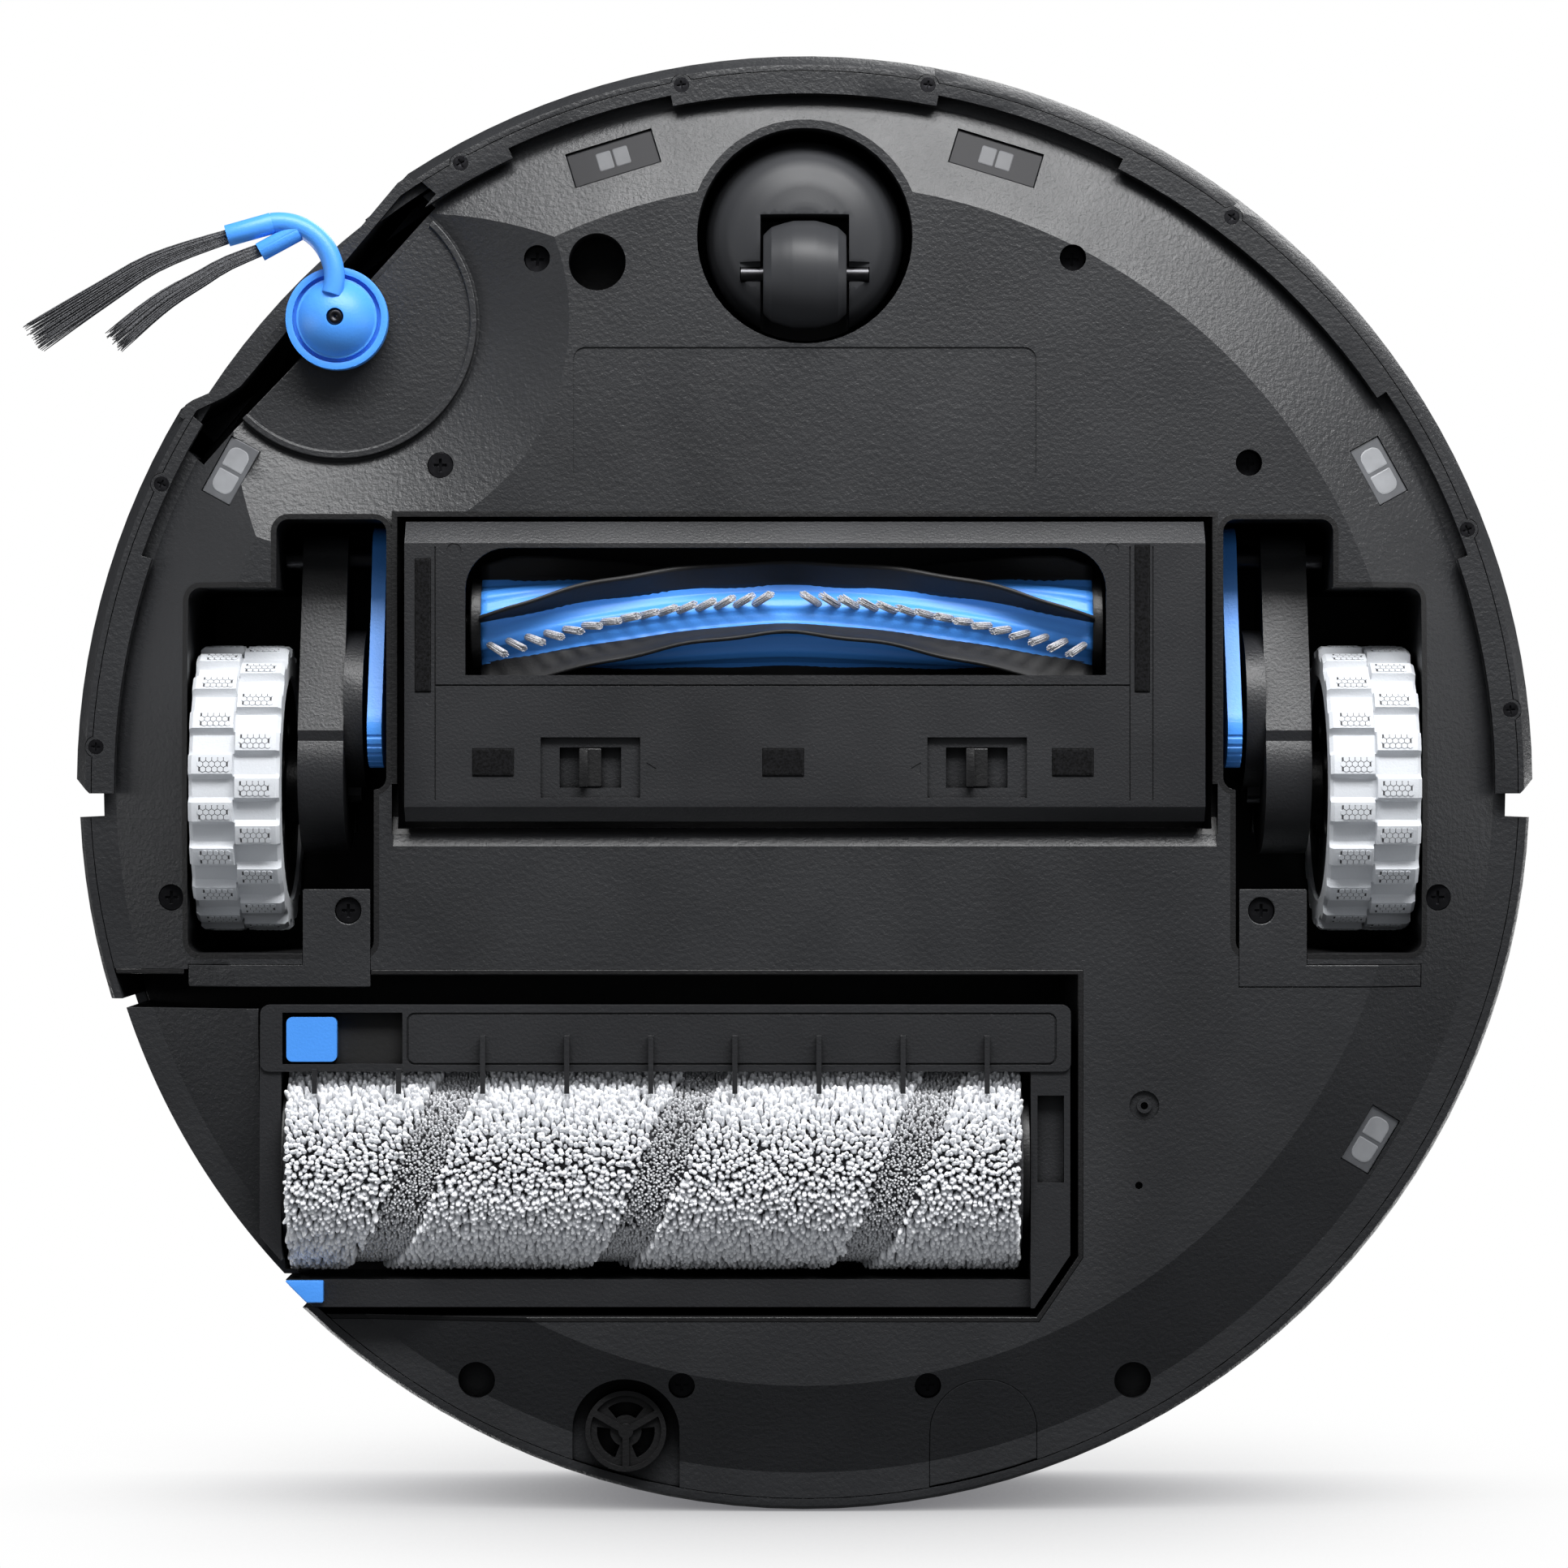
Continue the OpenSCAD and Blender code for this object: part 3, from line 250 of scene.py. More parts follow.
BY_SLOT = {
    "charcoal_plastic": CHARCOAL,
    "black_plastic": BLACK,
    "gloss_dark": GLOSS,
    "window_dark": WINDOW_DARK,
    "window_clear": WINDOW_CLEAR,
    "blue_plastic": BLUE,
    "white_rubber": WHITE_RUBBER,
    "black_rubber": BLACK_RUBBER,
    "dark_bristle": BRISTLE_DARK,
    "grey_bristle": BRISTLE_GREY,
    "felt": FELT,
    "mop_pile": PILE_WHITE,
    "steel": STEEL,
    "screw_black": SCREW,
    "board_green": BOARD,
    "battery_wrap": WRAP,
    "tank_clear": TANK,
    "bin_grey": BIN,
}
SLOT_OF = {row["node"]: row["material_slot"] for row in frame["record"]["subparts"]}


def crease(obj, degrees):
    """Shades the object smoothly, but for edges that turn by more than an angle."""
    split = obj.modifiers.new("crease", "EDGE_SPLIT")
    split.split_angle = math.radians(degrees)


def soften(obj, width, crease_angle):
    """Joins the CAD mesh's face borders and rounds its edges, so that they catch the light."""
    weld = obj.modifiers.new("weld", "WELD")
    weld.merge_threshold = 0.000004
    edge = obj.modifiers.new("edge", "BEVEL")
    edge.width = width
    edge.segments = 2
    edge.limit_method = "ANGLE"
    edge.angle_limit = math.radians(32)
    edge.use_clamp_overlap = True
    crease(obj, crease_angle)


# domes are drawn with flat facets, so their creases start at a wider angle
CREASE_ANGLE = {"side_brush_hub": 40, "caster_fork": 30}
EDGE_WIDTH = {"base_shell": 0.0004, "upper_shell": 0.0005, "top_cover": 0.0005, "bumper_shell": 0.0005,
              "brush_cover": 0.0004, "mop_frame": 0.0004}
for node, obj in NODES.items():
    material = BY_SLOT[SLOT_OF[node]]
    if node in ("brush_cover", "mop_frame", "left_arm", "right_arm"):
        material = CHARCOAL_FINE
    if node in ("pivot_pins", "caster_axle", "left_axle", "right_axle", "side_brush_motor"):
        material = DARK_STEEL
    if node == "sensor_window":
        material = WINDOW_FRONT
    for slot in obj.material_slots:
        slot.material = material
    obj.data.polygons.foreach_set("use_smooth", [True] * len(obj.data.polygons))
    soften(obj, EDGE_WIDTH.get(node, 0.00025), CREASE_ANGLE.get(node, 17))


def paint(node, low, high, material):
    """Gives the faces of a CAD node whose middles lie in a box, in millimetres, their own material."""
    obj = NODES[node]
    obj.data.materials.append(material)
    for face in obj.data.polygons:
        middle = obj.matrix_world @ face.center / MM
        if all(a < value < b for a, value, b in zip(low, middle, high)):
            face.material_index = len(obj.data.materials) - 1


# floor of the release button's slot, painted near-black as painted shade in the slot
paint("mop_frame", (-126, 54.5, 11.2), (-96, 68, 11.6), SLOT_SHADE_BLACK)


# ---------------------------------------------------------------- mesh helpers
def build(name, points, faces, materials, which=None, smooth=True):
    """A mesh object. which gives each face's place in the list of materials."""
    mesh = bpy.data.meshes.new(name)
    mesh.from_pydata([tuple(p) for p in points], [], [tuple(int(i) for i in f) for f in faces])
    for material in materials:
        mesh.materials.append(material)
    if which is not None:
        mesh.polygons.foreach_set("material_index", np.asarray(which, dtype=np.int32))
    mesh.polygons.foreach_set("use_smooth", [smooth] * len(mesh.polygons))
    mesh.update()
    obj = bpy.data.objects.new(name, mesh)
    bpy.context.scene.collection.objects.link(obj)
    return obj


def tube_faces(rings, sides, start=0):
    """Faces of a closed tube whose points are stored ring by ring."""
    faces = []
    for r in range(rings - 1):
        for s in range(sides):
            a = start + r * sides + s
            b = start + r * sides + (s + 1) % sides
            faces.append((a, b, b + sides, a + sides))
    faces.append(tuple(start + s for s in reversed(range(sides))))
    faces.append(tuple(start + (rings - 1) * sides + s for s in range(sides)))
    return faces


def strand(path, radii, sides=4, turn=0.0):
    """Points of a thin tube along a path of 3-D points."""
    path = np.asarray(path, float)
    tangents = np.gradient(path, axis=0)
    tangents /= np.linalg.norm(tangents, axis=1)[:, None]
    up = np.array([0.0, 0.0, 1.0]) if abs(tangents[0][2]) < 0.9 else np.array([1.0, 0.0, 0.0])
    points = []
    for point, tangent, radius in zip(path, tangents, radii):
        side = np.cross(tangent, up)
        side /= np.linalg.norm(side)
        other = np.cross(side, tangent)
        for k in range(sides):
            angle = turn + TAU * k / sides
            points.append(point + radius * (math.cos(angle) * side + math.sin(angle) * other))
    return points


class Bundle:
    """Collects many small tubes into one mesh."""

    def __init__(self):
        self.points = []
        self.faces = []

    def tube(self, path, radii, sides, turn=0.0):
        """Adds one tube along a path."""
        start = len(self.points)
        self.points += strand(path, radii, sides, turn)
        self.faces += tube_faces(len(path), sides, start)

    def make(self, name, material):
        """Builds the object from everything added so far."""
        return build(name, self.points, self.faces, [material])


# ---------------------------------------------------------------- tyres
TREAD_BLOCKS = 19
STEPS_PER_BLOCK = 20
TREAD_DEPTH = 0.0019
CARCASS = 0.0075
# a small hexagon on a tread block: its radius, and the pitches of the field across and around
HEX = 0.00072
HEX_ACROSS = HEX * 1.95
HEX_AROUND = HEX * 1.70


class Tyre:
    """Two rows of tread blocks, half a pitch apart, with a field of small hexagons on each block."""

    def __init__(self, side):
        self.side = side
        low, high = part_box(f"{side}_tyre")
        self.middle = (low + high) / 2
        self.outer = (high.z - low.z) / 2
        self.width = high.x - low.x
        self.points, self.faces, self.which = [], [], []

    def place(self, x, turn, radius):
        """A point at an angle from straight down, measured towards the front."""
        self.points.append((self.middle.x + x, self.middle.y - radius * math.sin(turn),
                            self.middle.z - radius * math.cos(turn)))

    def face(self, corners, material):
        self.faces.append(corners)
        self.which.append(material)

    def height(self, turn, row):
        """Radius of a row of tread: the blocks stand above a base that slopes a little between them."""
        phase = (turn * TREAD_BLOCKS / TAU + 0.5 * row) % 1.0
        raised = min(max((0.26 - abs(phase - 0.5)) / 0.07, 0.0), 1.0)
        sloped = 0.35 * max(0.0, 1 - abs(phase - 0.5) / 0.5)
        base = self.outer - TREAD_DEPTH - 0.0002
        return base + TREAD_DEPTH * raised * (2 - raised) + 0.0004 * sloped * (1 - raised)

    def add_tread(self):
        """The closed ring of rubber, as one cross-section for each step of the turn."""
        across = [-0.5, -0.5, -0.46, -0.015, 0.0, 0.015, 0.46, 0.5, 0.5]
        steps = TREAD_BLOCKS * STEPS_PER_BLOCK
        lanes = len(across)
        inner = self.outer - CARCASS
        for i in range(steps):
            turn = TAU * i / steps
            first, second = self.height(turn, 0), self.height(turn, 1)
            radii = [inner, first - 0.0007, first, first, min(first, second),
                     second, second, second - 0.0007, inner]
            for radius, fraction in zip(radii, across):
                self.place(fraction * self.width, turn, radius)
        for i in range(steps):
            here, after = i * lanes, (i + 1) % steps * lanes
            for j in range(lanes):
                n = (j + 1) % lanes
                self.face((here + j, after + j, after + n, here + n), 0)

    def add_hexagon(self, x, turn):
        """One small tile that stands just under the tread's outermost surface."""
        start = len(self.points)
        for level in (self.outer - 0.00024, self.outer - 0.00002):
            for k in range(6):
                angle = TAU * (k + 0.5) / 6
                self.place(x + HEX * math.cos(angle), turn + HEX * math.sin(angle) / self.outer, level)
        self.face(tuple(start + 6 + k for k in range(6)), 0)
        for k in range(6):
            n = (k + 1) % 6
            self.face((start + k, start + n, start + 6 + n, start + 6 + k), 0)

    def add_patch(self, x, turn):
        """The ground of one block's field, painted dark as painted shade between the hexagons, and the
        hexagons on it.
        """
        start = len(self.points)
        half_x = HEX_ACROSS * 2.25 + HEX * 0.5
        half_turn = (HEX_AROUND + HEX * 0.65) / self.outer
        for k in range(5):
            for side in (-1, 1):
                self.place(x + side * half_x, turn + half_turn * (k / 2 - 1), self.outer - 0.00013)
        for k in range(start, start + 8, 2):
            self.face((k, k + 1, k + 3, k + 2), 1)
        for row in range(-1, 2):
            for column in range(-2, 3):
                shift = HEX_ACROSS * (column + 0.5 * (row % 2) - 0.25)
                self.add_hexagon(x + shift, turn + row * HEX_AROUND / self.outer)

    def make(self):
        self.add_tread()
        for row, place in ((0, -0.22), (1, 0.23)):
            for i in range(TREAD_BLOCKS):
                self.add_patch(place * self.width, TAU * (i + 0.5 - 0.5 * row) / TREAD_BLOCKS)
        obj = build(f"{self.side}_tread", self.points, self.faces, [WHITE_RUBBER, TREAD_GROOVE_SHADE], self.which)
        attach(obj, f"{self.side}_wheel")
        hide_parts(f"{self.side}_tyre")
        crease(obj, 38)


for side in ("left", "right"):
    Tyre(side).make()


# ---------------------------------------------------------------- main brush
fins_low, fins_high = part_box("brush_fins")
axis_y = (fins_low.y + fins_high.y) / 2
axis_z = (fins_low.z + fins_high.z) / 2
mid_x = (fins_low.x + fins_high.x) / 2
half_length = (fins_high.x - fins_low.x) / 2
fin_tip = (fins_high.z - fins_low.z) / 2
CORE_R = 0.0098
FINS = 5
# the first fin's angle at the middle of the brush, and how far it falls behind at the ends
SWEEP_START = math.radians(65)
SWEEP = math.radians(60)


def sweep(x):
    """Angle from straight down, towards the front, of the first fin at a place along the brush."""
    along = min(abs(x - mid_x) / half_length, 1.0)
    return SWEEP_START - SWEEP * along ** 1.6


def on_brush(x, angle, radius):
    """A point at an angle from straight down, measured towards the front."""
    return (x, axis_y - radius * math.sin(angle), axis_z - radius * math.cos(angle))


def brush_skin(name, section, materials, stations=73):
    """A closed body along the brush whose cross-section turns with the chevron."""
    points = []
    sides = len(section)
    for i in range(stations):
        x = mid_x + half_length * (2 * i / (stations - 1) - 1)
        for angle, radius in section:
            points.append(on_brush(x, sweep(x) + angle, radius))
    faces = [tuple(reversed(f)) for f in tube_faces(stations, sides)]
    return build(name, points, faces, materials)


def core_section():
    """Five ridges that carry the fins, with a hollow flute and a low step between them."""
    section = []
    for k in range(120):
        angle = TAU * k / 120
        phase = (angle * FINS / TAU) % 1.0
        near_fin = max(0.0, 1 - min(phase, 1 - phase) / 0.13)
        near_tuft = max(0.0, 1 - abs(phase - 0.5) / 0.16)
        radius = CORE_R + 0.0016 * min(1.0, near_fin * 2.2) + 0.0008 * min(1.0, near_tuft * 2.5)
        section.append((angle, radius))
    return section


core = brush_skin("brush_core_fluted", core_section(), [BLUE])
ends = Bundle()
low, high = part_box("brush_core")
for sign, end in ((-1, low.x), (1, high.x)):
    cap = mid_x + sign * half_length
    rings = [(cap - sign * 0.0002, 0.0005), (cap - sign * 0.0002, 0.0113), (cap + sign * 0.0004, 0.0115),
             (cap + sign * 0.0020, 0.0115), (cap + sign * 0.0024, 0.0110), (cap + sign * 0.0024, 0.0042),
             (end - sign * 0.0006, 0.0040), (end, 0.0034), (end, 0.0004)]
    start = len(ends.points)
    sides = 40
    for x, radius in rings:
        for k in range(sides):
            ends.points.append(on_brush(x, TAU * k / sides, radius))
    faces = tube_faces(len(rings), sides, start)
    ends.faces += faces if sign < 0 else [tuple(reversed(f)) for f in faces]
caps = ends.make("brush_end_caps", BLACK)
crease(caps, 35)
for obj in (core, caps):
    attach(obj, "main_brush")
    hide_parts("brush_core")


def fin(index):
    """A rubber blade with a thick root, a thin swept tip and a rolled edge."""
    base = TAU * index / FINS
    outline = [(-0.150, 0.0098), (-0.085, 0.0118), (-0.058, 0.0140), (-0.050, 0.0160), (-0.046, 0.0168),
               (0.000, 0.0170), (0.010, 0.0166), (0.020, 0.0150), (0.046, 0.0126), (0.110, 0.0112),
               (0.150, 0.0098)]
    stations = 65
    sides = len(outline)
    points = []
    for i in range(stations):
        along = 2 * i / (stations - 1) - 1
        x = mid_x + half_length * along
        taper = 1.0 - 0.32 * max(0.0, abs(along) - 0.9) / 0.1
        wave = 0.02 * math.cos(6 * math.pi * along)
        for angle, radius in outline:
            lift = CORE_R + (radius - CORE_R) * taper
            points.append(on_brush(x, sweep(x) + base + angle + wave * (radius - CORE_R) / 0.007, lift))
    faces = [tuple(reversed(f)) for f in tube_faces(stations, sides)]
    return points, faces


points, faces = [], []
for index in range(FINS):
    more, these = fin(index)
    faces += [tuple(i + len(points) for i in f) for f in these]
    points += more
fins = build("brush_rubber_fins", points, faces, [BLACK_RUBBER])
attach(fins, "main_brush")
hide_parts("brush_fins")


# ---------------------------------------------------------------- main brush's bristles
TUFT_PITCH = 0.00456
# gaps between fins that hold tufts
TUFT_ROWS = (0, 2)
# bristles of one tuft as distance and direction from its middle
BUNDLE = [(0, 0)] + [(0.00038, TAU * k / 6) for k in range(6)]
BUNDLE += [(0.00076, TAU * (k + 0.5) / 12) for k in range(12)]
tufts = Bundle()
per_half = int((half_length - 0.004) / TUFT_PITCH)
for row in TUFT_ROWS:
    for sign in (-1, 1):
        for k in range(per_half):
            x = mid_x + sign * (0.0085 + k * TUFT_PITCH)
            base = sweep(x) - TAU * (row + 0.5) / FINS
            for spot, around in BUNDLE:
                dx = spot * math.cos(around)
                da = spot * math.sin(around) / CORE_R
                lean = -sign * 0.0046 + rng.normal(0, 0.00010)
                reach = fin_tip - 0.0012 + rng.normal(0, 0.0002)
                path = []
                for t in (0.0, 0.5, 1.0):
                    radius = CORE_R - 0.0004 + (reach - CORE_R) * t
                    along = x + dx * (1 + 0.15 * t) + lean * t
                    path.append(on_brush(along, base + da * (1 - 0.35 * t), radius))
                tufts.tube(path, [0.00019, 0.00019, 0.00016], 5)
obj = tufts.make("brush_bristles", BRISTLE_GREY)
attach(obj, "main_brush")
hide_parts("brush_tufts")


# ---------------------------------------------------------------- side brush tufts
# the hub's own axis, at floor height
SIDE = Vector((-112.7, -112.1, 0)) * MM
# for each tuft, points of its middle line in millimetres from the hub, and half its width at both ends
ROUTES = (
    ([(-25.0, -19.6, 6.1), (-36.0, -15.9, 5.2), (-45.1, -12.0, 4.2), (-54.2, -6.2, 3.2),
      (-63.3, -0.3, 2.4), (-72.4, 5.8, 1.6)], 1.45, 3.5),
    ([(-17.4, -16.4, 6.1), (-26.2, -12.7, 5.4), (-32.7, -8.8, 4.8), (-39.2, -4.9, 4.1),
      (-45.1, -0.4, 3.5), (-52.9, 6.5, 2.8)], 1.3, 2.75),
)


def smooth_path(points, count):
    """Catmull-Rom through a few points."""
    points = np.asarray(points, float)
    padded = np.vstack([2 * points[0] - points[1], points, 2 * points[-1] - points[-2]])
    out = []
    spans = len(points) - 1
    for i in range(count):
        t = i / (count - 1) * spans
        k = min(int(t), spans - 1)
        f = t - k
        p0, p1, p2, p3 = padded[k:k + 4]
        square = (2 * p0 - 5 * p1 + 4 * p2 - p3) * f ** 2
        cube = (3 * p1 - p0 - 3 * p2 + p3) * f ** 3
        out.append(0.5 * (2 * p1 + (p2 - p0) * f + square + cube))
    return np.array(out)


POINTS = 12
LAYERS = 4
ACROSS = 15
side_tufts = Bundle()
for route, root_half, tip_half in ROUTES:
    spine = smooth_path(route, POINTS)
    direction = np.gradient(spine, axis=0)
    direction /= np.linalg.norm(direction, axis=1)[:, None]
    sideways = np.cross(direction, [0, 0, 1.0])
    sideways /= np.linalg.norm(sideways, axis=1)[:, None]
    t = np.linspace(0, 1, POINTS)[:, None]
    for layer in range(LAYERS):
        for k in range(ACROSS):
            across = (k / (ACROSS - 1) * 2 - 1) + rng.normal(0, 0.04)
            high_off = (layer - (LAYERS - 1) / 2) * 0.45 + rng.normal(0, 0.06)
            wander = rng.normal(0, 0.18) * t ** 2
            path = spine + sideways * (across * (root_half + (tip_half - root_half) * t) + wander)
            path += [0, 0, 1] * (high_off * (1 - 0.3 * t))
            path += direction * (rng.uniform(-0.6, 0.6) * t ** 6)
            path[-1] += (path[-2] - path[-1]) * rng.uniform(0, 0.35)
            radii = np.full(POINTS, 0.17)
            radii[-1] = 0.10
            side_tufts.tube(np.array([SIDE]) + path * MM, radii * MM, 4, rng.uniform(0, 1.5))
obj = side_tufts.make("side_brush_bristles", BRISTLE_DARK)
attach(obj, "side_brush")
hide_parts("side_brush_tufts")


# ---------------------------------------------------------------- mop pile
low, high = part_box("mop_pile")
mop_axis = (low + high) / 2
mop_r = (high.z - low.z) / 2
x_start, x_end = low.x, high.x
BAND_PITCH = 0.058
BAND_WIDTH = 0.0112
BAND_START = x_start + 0.0325


def band_distance(x, turn):
    """Distance along the roller from the nearest grey band, which winds once in each pitch."""
    phase = (x - BAND_START + BAND_PITCH * (turn / TAU)) / BAND_PITCH
    return (phase - round(phase)) * BAND_PITCH


def pile_point(x, turn, radius):
    """A point at an angle from straight down, measured towards the rear."""
    return Vector((x, mop_axis.y + radius * math.sin(turn), mop_axis.z - radius * math.cos(turn)))


def nub(points, faces, x, turn, root, tip, half, lean_x, lean_t, sides=5):
    """One chenille finger: a short tapered stub with a rounded end."""
    start = len(points)
    spin = random.random() * TAU
    for level, scale in ((0.0, 0.9), (0.62, 1.05), (0.88, 0.85), (1.0, 0.42)):
        radius = root + (tip - root) * level
        for k in range(sides):
            angle = spin + TAU * k / sides
            dx = lean_x * level + half * scale * math.cos(angle)
            dt = (lean_t * level + half * scale * math.sin(angle)) / mop_r
            points.append(pile_point(x + dx, turn + dt, radius))
    for r in range(3):
        for s in range(sides):
            a = start + r * sides + s
            b = start + r * sides + (s + 1) % sides
            faces.append((a, b, b + sides, a + sides))
    faces.append(tuple(start + 3 * sides + s for s in range(sides)))


SECTIONS = 3
CHENILLE_PITCH = 0.00114
CHENILLE_ROOT = mop_r - 0.0045
SHORT_PITCH = 0.00075
SHORT_ROOT = mop_r - 0.0042


def grid(pitch):
    """Columns along the roller and places round it, at one pitch, every other column half a step on."""
    columns = int((x_end - x_start) / pitch)
    rounds = int(TAU * mop_r / pitch)
    for i in range(columns):
        for j in range(rounds):
            turn = TAU * (j + 0.5 * (i % 2)) / rounds
            yield i * SECTIONS // columns, x_start + pitch * (i + 0.5), turn


def chenille():
    """The long white fingers, a little uneven, everywhere but on the bands."""
    parts = [([], []) for _ in range(SECTIONS)]
    for part, x, turn in grid(CHENILLE_PITCH):
        x += random.uniform(-0.35, 0.35) * CHENILLE_PITCH
        turn += random.uniform(-0.35, 0.35) * CHENILLE_PITCH / mop_r
        x = min(max(x, x_start + 0.0009), x_end - 0.0009)
        if abs(band_distance(x, turn)) < BAND_WIDTH / 2:
            continue
        if random.random() < 0.03:
            continue
        tip = mop_r - min(abs(random.gauss(0, 0.0006)), 0.0022) - 0.0001
        nub(*parts[part], x, turn, CHENILLE_ROOT, tip, random.uniform(0.00054, 0.00074),
            random.gauss(0, 0.0004), random.gauss(0, 0.0004))
    return [build(f"mop_chenille_{k}", *parts[k], [PILE_WHITE]) for k in range(SECTIONS)]


def short_bands():
    """The short grey pile of the bands that wind round the roller."""
    parts = [([], []) for _ in range(SECTIONS)]
    for part, x, turn in grid(SHORT_PITCH):
        if abs(band_distance(x, turn)) > BAND_WIDTH / 2 - 0.0002:
            continue
        if random.random() < 0.12 or x < x_start + 0.0006 or x > x_end - 0.0006:
            continue
        tip = mop_r - 0.0020 - abs(random.gauss(0, 0.0003))
        x += random.gauss(0, 0.00015)
        nub(*parts[part], x, turn, SHORT_ROOT, tip, random.uniform(0.00034, 0.00042),
            random.gauss(0, 0.0002), random.gauss(0, 0.0002), 4)
    return [build(f"mop_short_band_{k}", *parts[k], [PILE_GREY]) for k in range(SECTIONS)]


pile = chenille() + short_bands()
sides = 96
backing = []
for x, radius in ((x_start, 0.0135), (x_start, mop_r - 0.0036), (x_end, mop_r - 0.0036), (x_end, 0.0135)):
    backing += [pile_point(x, TAU * k / sides, radius) for k in range(sides)]
backing_obj = build("mop_backing", backing, tube_faces(4, sides), [PILE_BASE])
crease(backing_obj, 40)
for obj in (*pile, backing_obj):
    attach(obj, "mop_roller")
    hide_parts("mop_pile")


# ---------------------------------------------------------------- felt pads
def felt_patch(x0, x1, y0, y1, z):
    """A thin pad of needle felt with a fuzzy, uneven face."""
    nx = max(int((x1 - x0) / 0.0004), 2)
    ny = max(int((y1 - y0) / 0.0004), 2)
    points = []
    for level in (0, 1):
        for i in range(nx + 1):
            for j in range(ny + 1):
                inside = 0 < i < nx and 0 < j < ny
                rise = z + 0.0005 if level == 0 else z + (rng.uniform(0, 0.00022) if inside else 0.0003)
                points.append((x0 + (x1 - x0) * i / nx, y0 + (y1 - y0) * j / ny, rise))
    count = (nx + 1) * (ny + 1)
    faces = []
    for i in range(nx):
        for j in range(ny):
            a = i * (ny + 1) + j
            faces.append((a, a + ny + 1, a + ny + 2, a + 1))
            b = a + count
            faces.append((b, b + 1, b + ny + 2, b + ny + 1))
    edge = [i * (ny + 1) for i in range(nx + 1)] + [nx * (ny + 1) + j for j in range(1, ny + 1)]
    edge += [i * (ny + 1) + ny for i in range(nx - 1, -1, -1)] + [j for j in range(ny - 1, 0, -1)]
    for a, b in zip(edge, edge[1:] + edge[:1]):
        faces.append((a, a + count, b + count, b))
    return points, faces


felt_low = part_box("cover_felts")[0]
# x0, x1, y0, y1 of each pad and strip in millimetres
FELTS = [(-79.7, -69.9, -8.5, -1.9), (-10.1, -0.3, -8.5, -1.9), (59.4, 69.2, -8.5, -1.9),
         (-93.5, -89.8, -54.1, -22.1), (79.2, 82.7, -57.3, -22.1)]
points, faces = [], []
for x0, x1, y0, y1 in FELTS:
    more, these = felt_patch(x0 * MM, x1 * MM, y0 * MM, y1 * MM, felt_low.z)
    faces += [tuple(i + len(points) for i in f) for f in these]
    points += more
felts = build("guard_felts", points, faces, [FELT])
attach(felts, "brush_guard")
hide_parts("cover_felts")


# ---------------------------------------------------------------- cliff sensors' lenses
# x and y of each window's middle in millimetres, and its turn in degrees
FRONT_WINDOWS = [(-46.3, -151.4, -17), (46.3, -151.4, 17)]
SIDE_WINDOWS = [(-138.9, -75.8, -61), (138.9, -75.8, 61), (137.0, 86.1, -59)]


def surface_height(x, y):
    """Height of the window glass, from its own CAD node."""
    for node in ("front_cliff_windows", "side_cliff_windows"):
        obj = NODES[node]
        below = obj.matrix_world.inverted() @ Vector((x, y, -0.05))
        hit, place, _, _ = obj.ray_cast(below, Vector((0, 0, 1)))
        if hit:
            return (obj.matrix_world @ place).z
    raise ValueError("no window glass above this point")


def lens_outline(kind, size_x, size_y):
    """Half of a twin lens: a rounded square, or a D with its flat towards the middle."""
    corner = 0.25 if kind == "square" else 0.8
    outline = []
    for cx, cy, start in ((1, 1, 0), (-1, 1, 90), (-1, -1, 180), (1, -1, 270)):
        radius = (corner if (cx > 0 or kind == "square") else 0.15) * min(size_x, size_y) / 2
        for k in range(6):
            angle = math.radians(start + 18 * k)
            outline.append((cx * (size_x / 2 - radius) + radius * math.cos(angle),
                            cy * (size_y / 2 - radius) + radius * math.sin(angle)))
    return outline


def twin_lens(name, spot, kind, size, gap, material):
    """A sender and a receiver side by side behind one window."""
    x0, y0, turn = spot
    turn = math.radians(turn)
    points, faces = [], []
    for way in (-1, 1):
        outline = lens_outline(kind, *size)
        start = len(points)
        for inset, lift in ((0.0, 0.00004), (0.0, -0.00006), (0.10, -0.00012)):
            for px, py in outline:
                lx = way * (gap / 2 + size[0] / 2 + px * (1 - inset))
                ly = py * (1 - inset)
                wx = (x0 + lx * math.cos(turn) - ly * math.sin(turn)) * MM
                wy = (y0 + lx * math.sin(turn) + ly * math.cos(turn)) * MM
                points.append((wx, wy, surface_height(wx, wy) + lift))
        faces += tube_faces(3, len(outline), start)
    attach(build(name, points, faces, [material], smooth=False), "chassis")


for index, spot in enumerate(FRONT_WINDOWS):
    twin_lens(f"front_lens_{index}", spot, "square", (3.7, 4.6), 0.5, LENS_DARK)
for index, spot in enumerate(SIDE_WINDOWS):
    twin_lens(f"side_lens_{index}", spot, "d", (5.4, 5.6), 0.9, LENS)


# ---------------------------------------------------------------- side brush's centre screw
# height and radius in millimetres
SCREW_PROFILE = ((5.8, 0.2), (4.3, 0.2), (4.3, 1.7), (4.6, 1.95), (5.8, 1.95))
points = []
for z, radius in SCREW_PROFILE:
    for k in range(32):
        angle = TAU * k / 32
        points.append(SIDE + Vector((radius * math.cos(angle), radius * math.sin(angle), z)) * MM)
screw = build("side_brush_screw", points, tube_faces(len(SCREW_PROFILE), 32), [SCREW])
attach(screw, "side_brush")


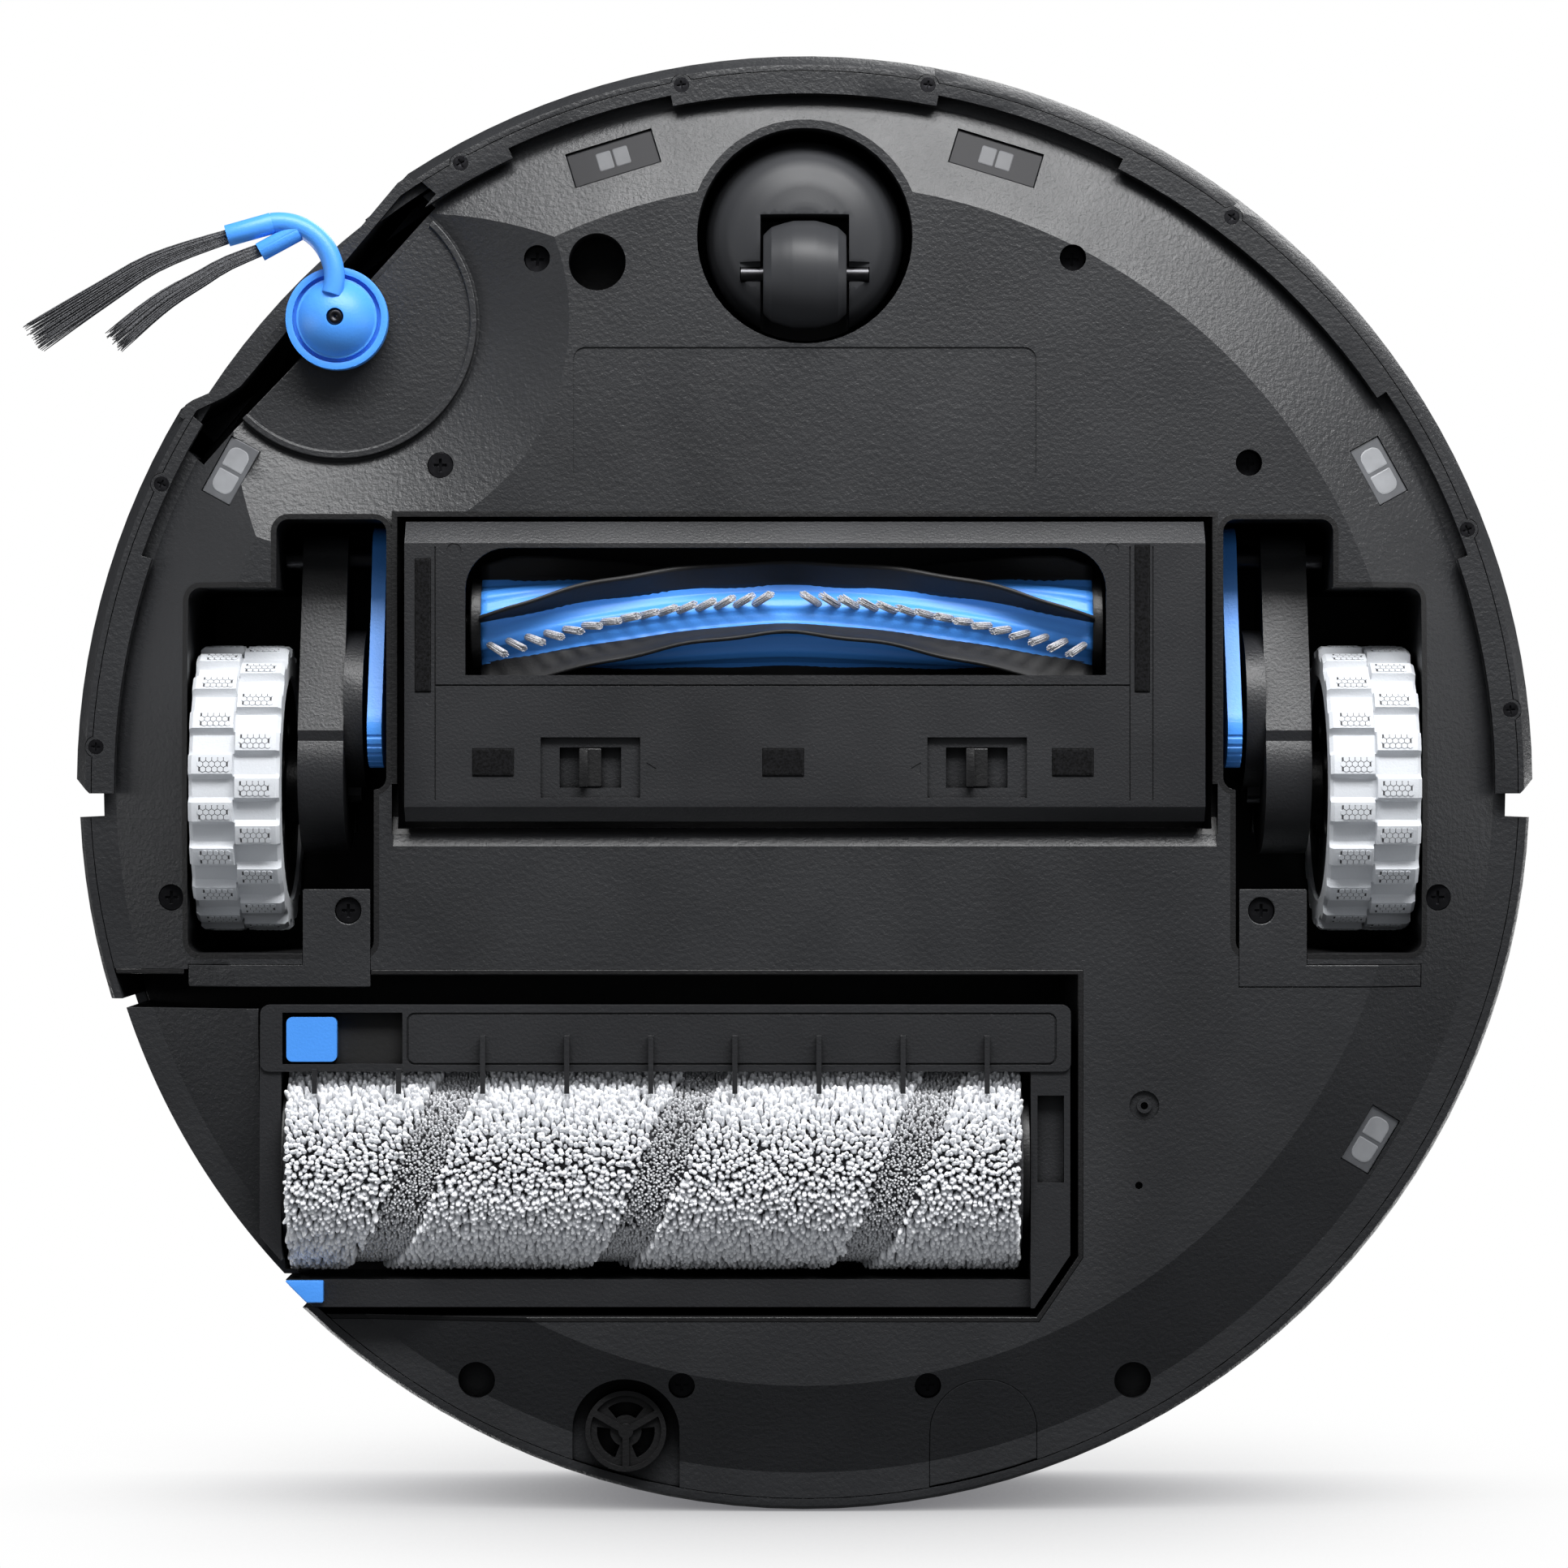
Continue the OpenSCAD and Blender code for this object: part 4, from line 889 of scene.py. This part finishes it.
# ---------------------------------------------------------------- camera, floor and light
scene = bpy.context.scene
FRAME_WIDTH = 0.3783
LENS_MM = 120
SENSOR_MM = 36
distance = FRAME_WIDTH * LENS_MM / SENSOR_MM
camera_data = bpy.data.cameras.new("camera")
camera_data.lens = LENS_MM
camera_data.sensor_width = SENSOR_MM
camera_data.clip_end = 20
camera = bpy.data.objects.new("camera", camera_data)
scene.collection.objects.link(camera)
camera.location = (-0.005, 0, 0.012 - distance)
camera.rotation_euler = (math.pi, 0, 0)
scene.camera = camera


def floor_material():
    """A white glowing floor with a painted contact shadow: it darkens by ambient occlusion near what stands
    on it, and shows its front side only.
    """
    material = bpy.data.materials.new("studio_floor")
    material.use_nodes = True
    tree = material.node_tree
    # painted shadow: ambient occlusion within 30 cm darkens the floor's glow
    near = add(tree, "ShaderNodeAmbientOcclusion", samples=24)
    near.inputs["Distance"].default_value = 0.30
    stops = [(0.0, (0.16, 0.16, 0.17)), (0.45, (0.62, 0.62, 0.63)), (0.80, (1, 1, 1))]
    tone = ramp(tree, near.outputs["AO"], stops)
    glow = add(tree, "ShaderNodeEmission")
    tree.links.new(tone.outputs["Color"], glow.inputs["Color"])
    side = add(tree, "ShaderNodeNewGeometry")
    clear = add(tree, "ShaderNodeBsdfTransparent")
    mix = add(tree, "ShaderNodeMixShader")
    tree.links.new(side.outputs["Backfacing"], mix.inputs["Fac"])
    tree.links.new(glow.outputs["Emission"], mix.inputs[1])
    tree.links.new(clear.outputs["BSDF"], mix.inputs[2])
    tree.links.new(mix.outputs["Shader"], tree.nodes["Material Output"].inputs["Surface"])
    return material


floor_y = cad_box[1][1] + 0.0005
corners = [(-1, floor_y, -0.25), (1, floor_y, -0.25), (1, floor_y, 0.9), (-1, floor_y, 0.9)]
floor = build("floor_under_rim", corners, [(0, 1, 2, 3)], [floor_material()], smooth=False)
floor.visible_shadow = False
floor.visible_diffuse = False
floor.visible_glossy = False

world = bpy.data.worlds.new("world")
scene.world = world
world.use_nodes = True
sky = world.node_tree
dim = sky.nodes["Background"]
dim.inputs["Color"].default_value = (0.93, 0.96, 1, 1)
backdrop = add(sky, "ShaderNodeBackground")
backdrop.inputs["Color"].default_value = (1, 1, 1, 1)
backdrop.inputs["Strength"].default_value = 1.0
seen = add(sky, "ShaderNodeLightPath")
fill = spread(sky, seen.outputs["Is Glossy Ray"], 0.30, 0.05)
sky.links.new(fill.outputs["Result"], dim.inputs["Strength"])
pick = add(sky, "ShaderNodeMixShader")
sky.links.new(seen.outputs["Is Camera Ray"], pick.inputs["Fac"])
sky.links.new(dim.outputs["Background"], pick.inputs[1])
sky.links.new(backdrop.outputs["Background"], pick.inputs[2])
sky.links.new(pick.outputs["Shader"], sky.nodes["World Output"].inputs["Surface"])
scene.view_settings.view_transform = "Standard"


def area(name, place, target, size, power):
    """A rectangular softbox aimed at a target."""
    data = bpy.data.lights.new(name, "AREA")
    data.shape = "RECTANGLE"
    data.size, data.size_y = size
    data.energy = power
    light = bpy.data.objects.new(name, data)
    scene.collection.objects.link(light)
    light.location = place
    aim = Vector(target) - Vector(place)
    light.rotation_euler = aim.to_track_quat("-Z", "Y").to_euler()


area("key_front", (0.10, -0.70, -0.46), (0, -0.04, 0.02), (0.9, 0.25), 14)
area("soft_below", (-0.10, -0.95, -1.10), (0, 0.05, 0.02), (0.8, 0.5), 1.7)
area("left_rim", (-1.0, 0.0, -0.25), (0, 0, 0.03), (0.2, 0.8), 1.6)
area("right_rim", (1.0, -0.1, -0.25), (0, 0, 0.03), (0.2, 0.8), 1.6)
area("top_key", (0.5, -0.9, 1.1), (0, 0, 0.06), (0.9, 0.9), 16)
area("top_fill", (-0.9, 0.8, 0.8), (0, 0, 0.06), (0.9, 0.9), 14)
area("side_fill", (1.0, 0.5, 0.6), (0, 0, 0.06), (0.9, 0.6), 10)
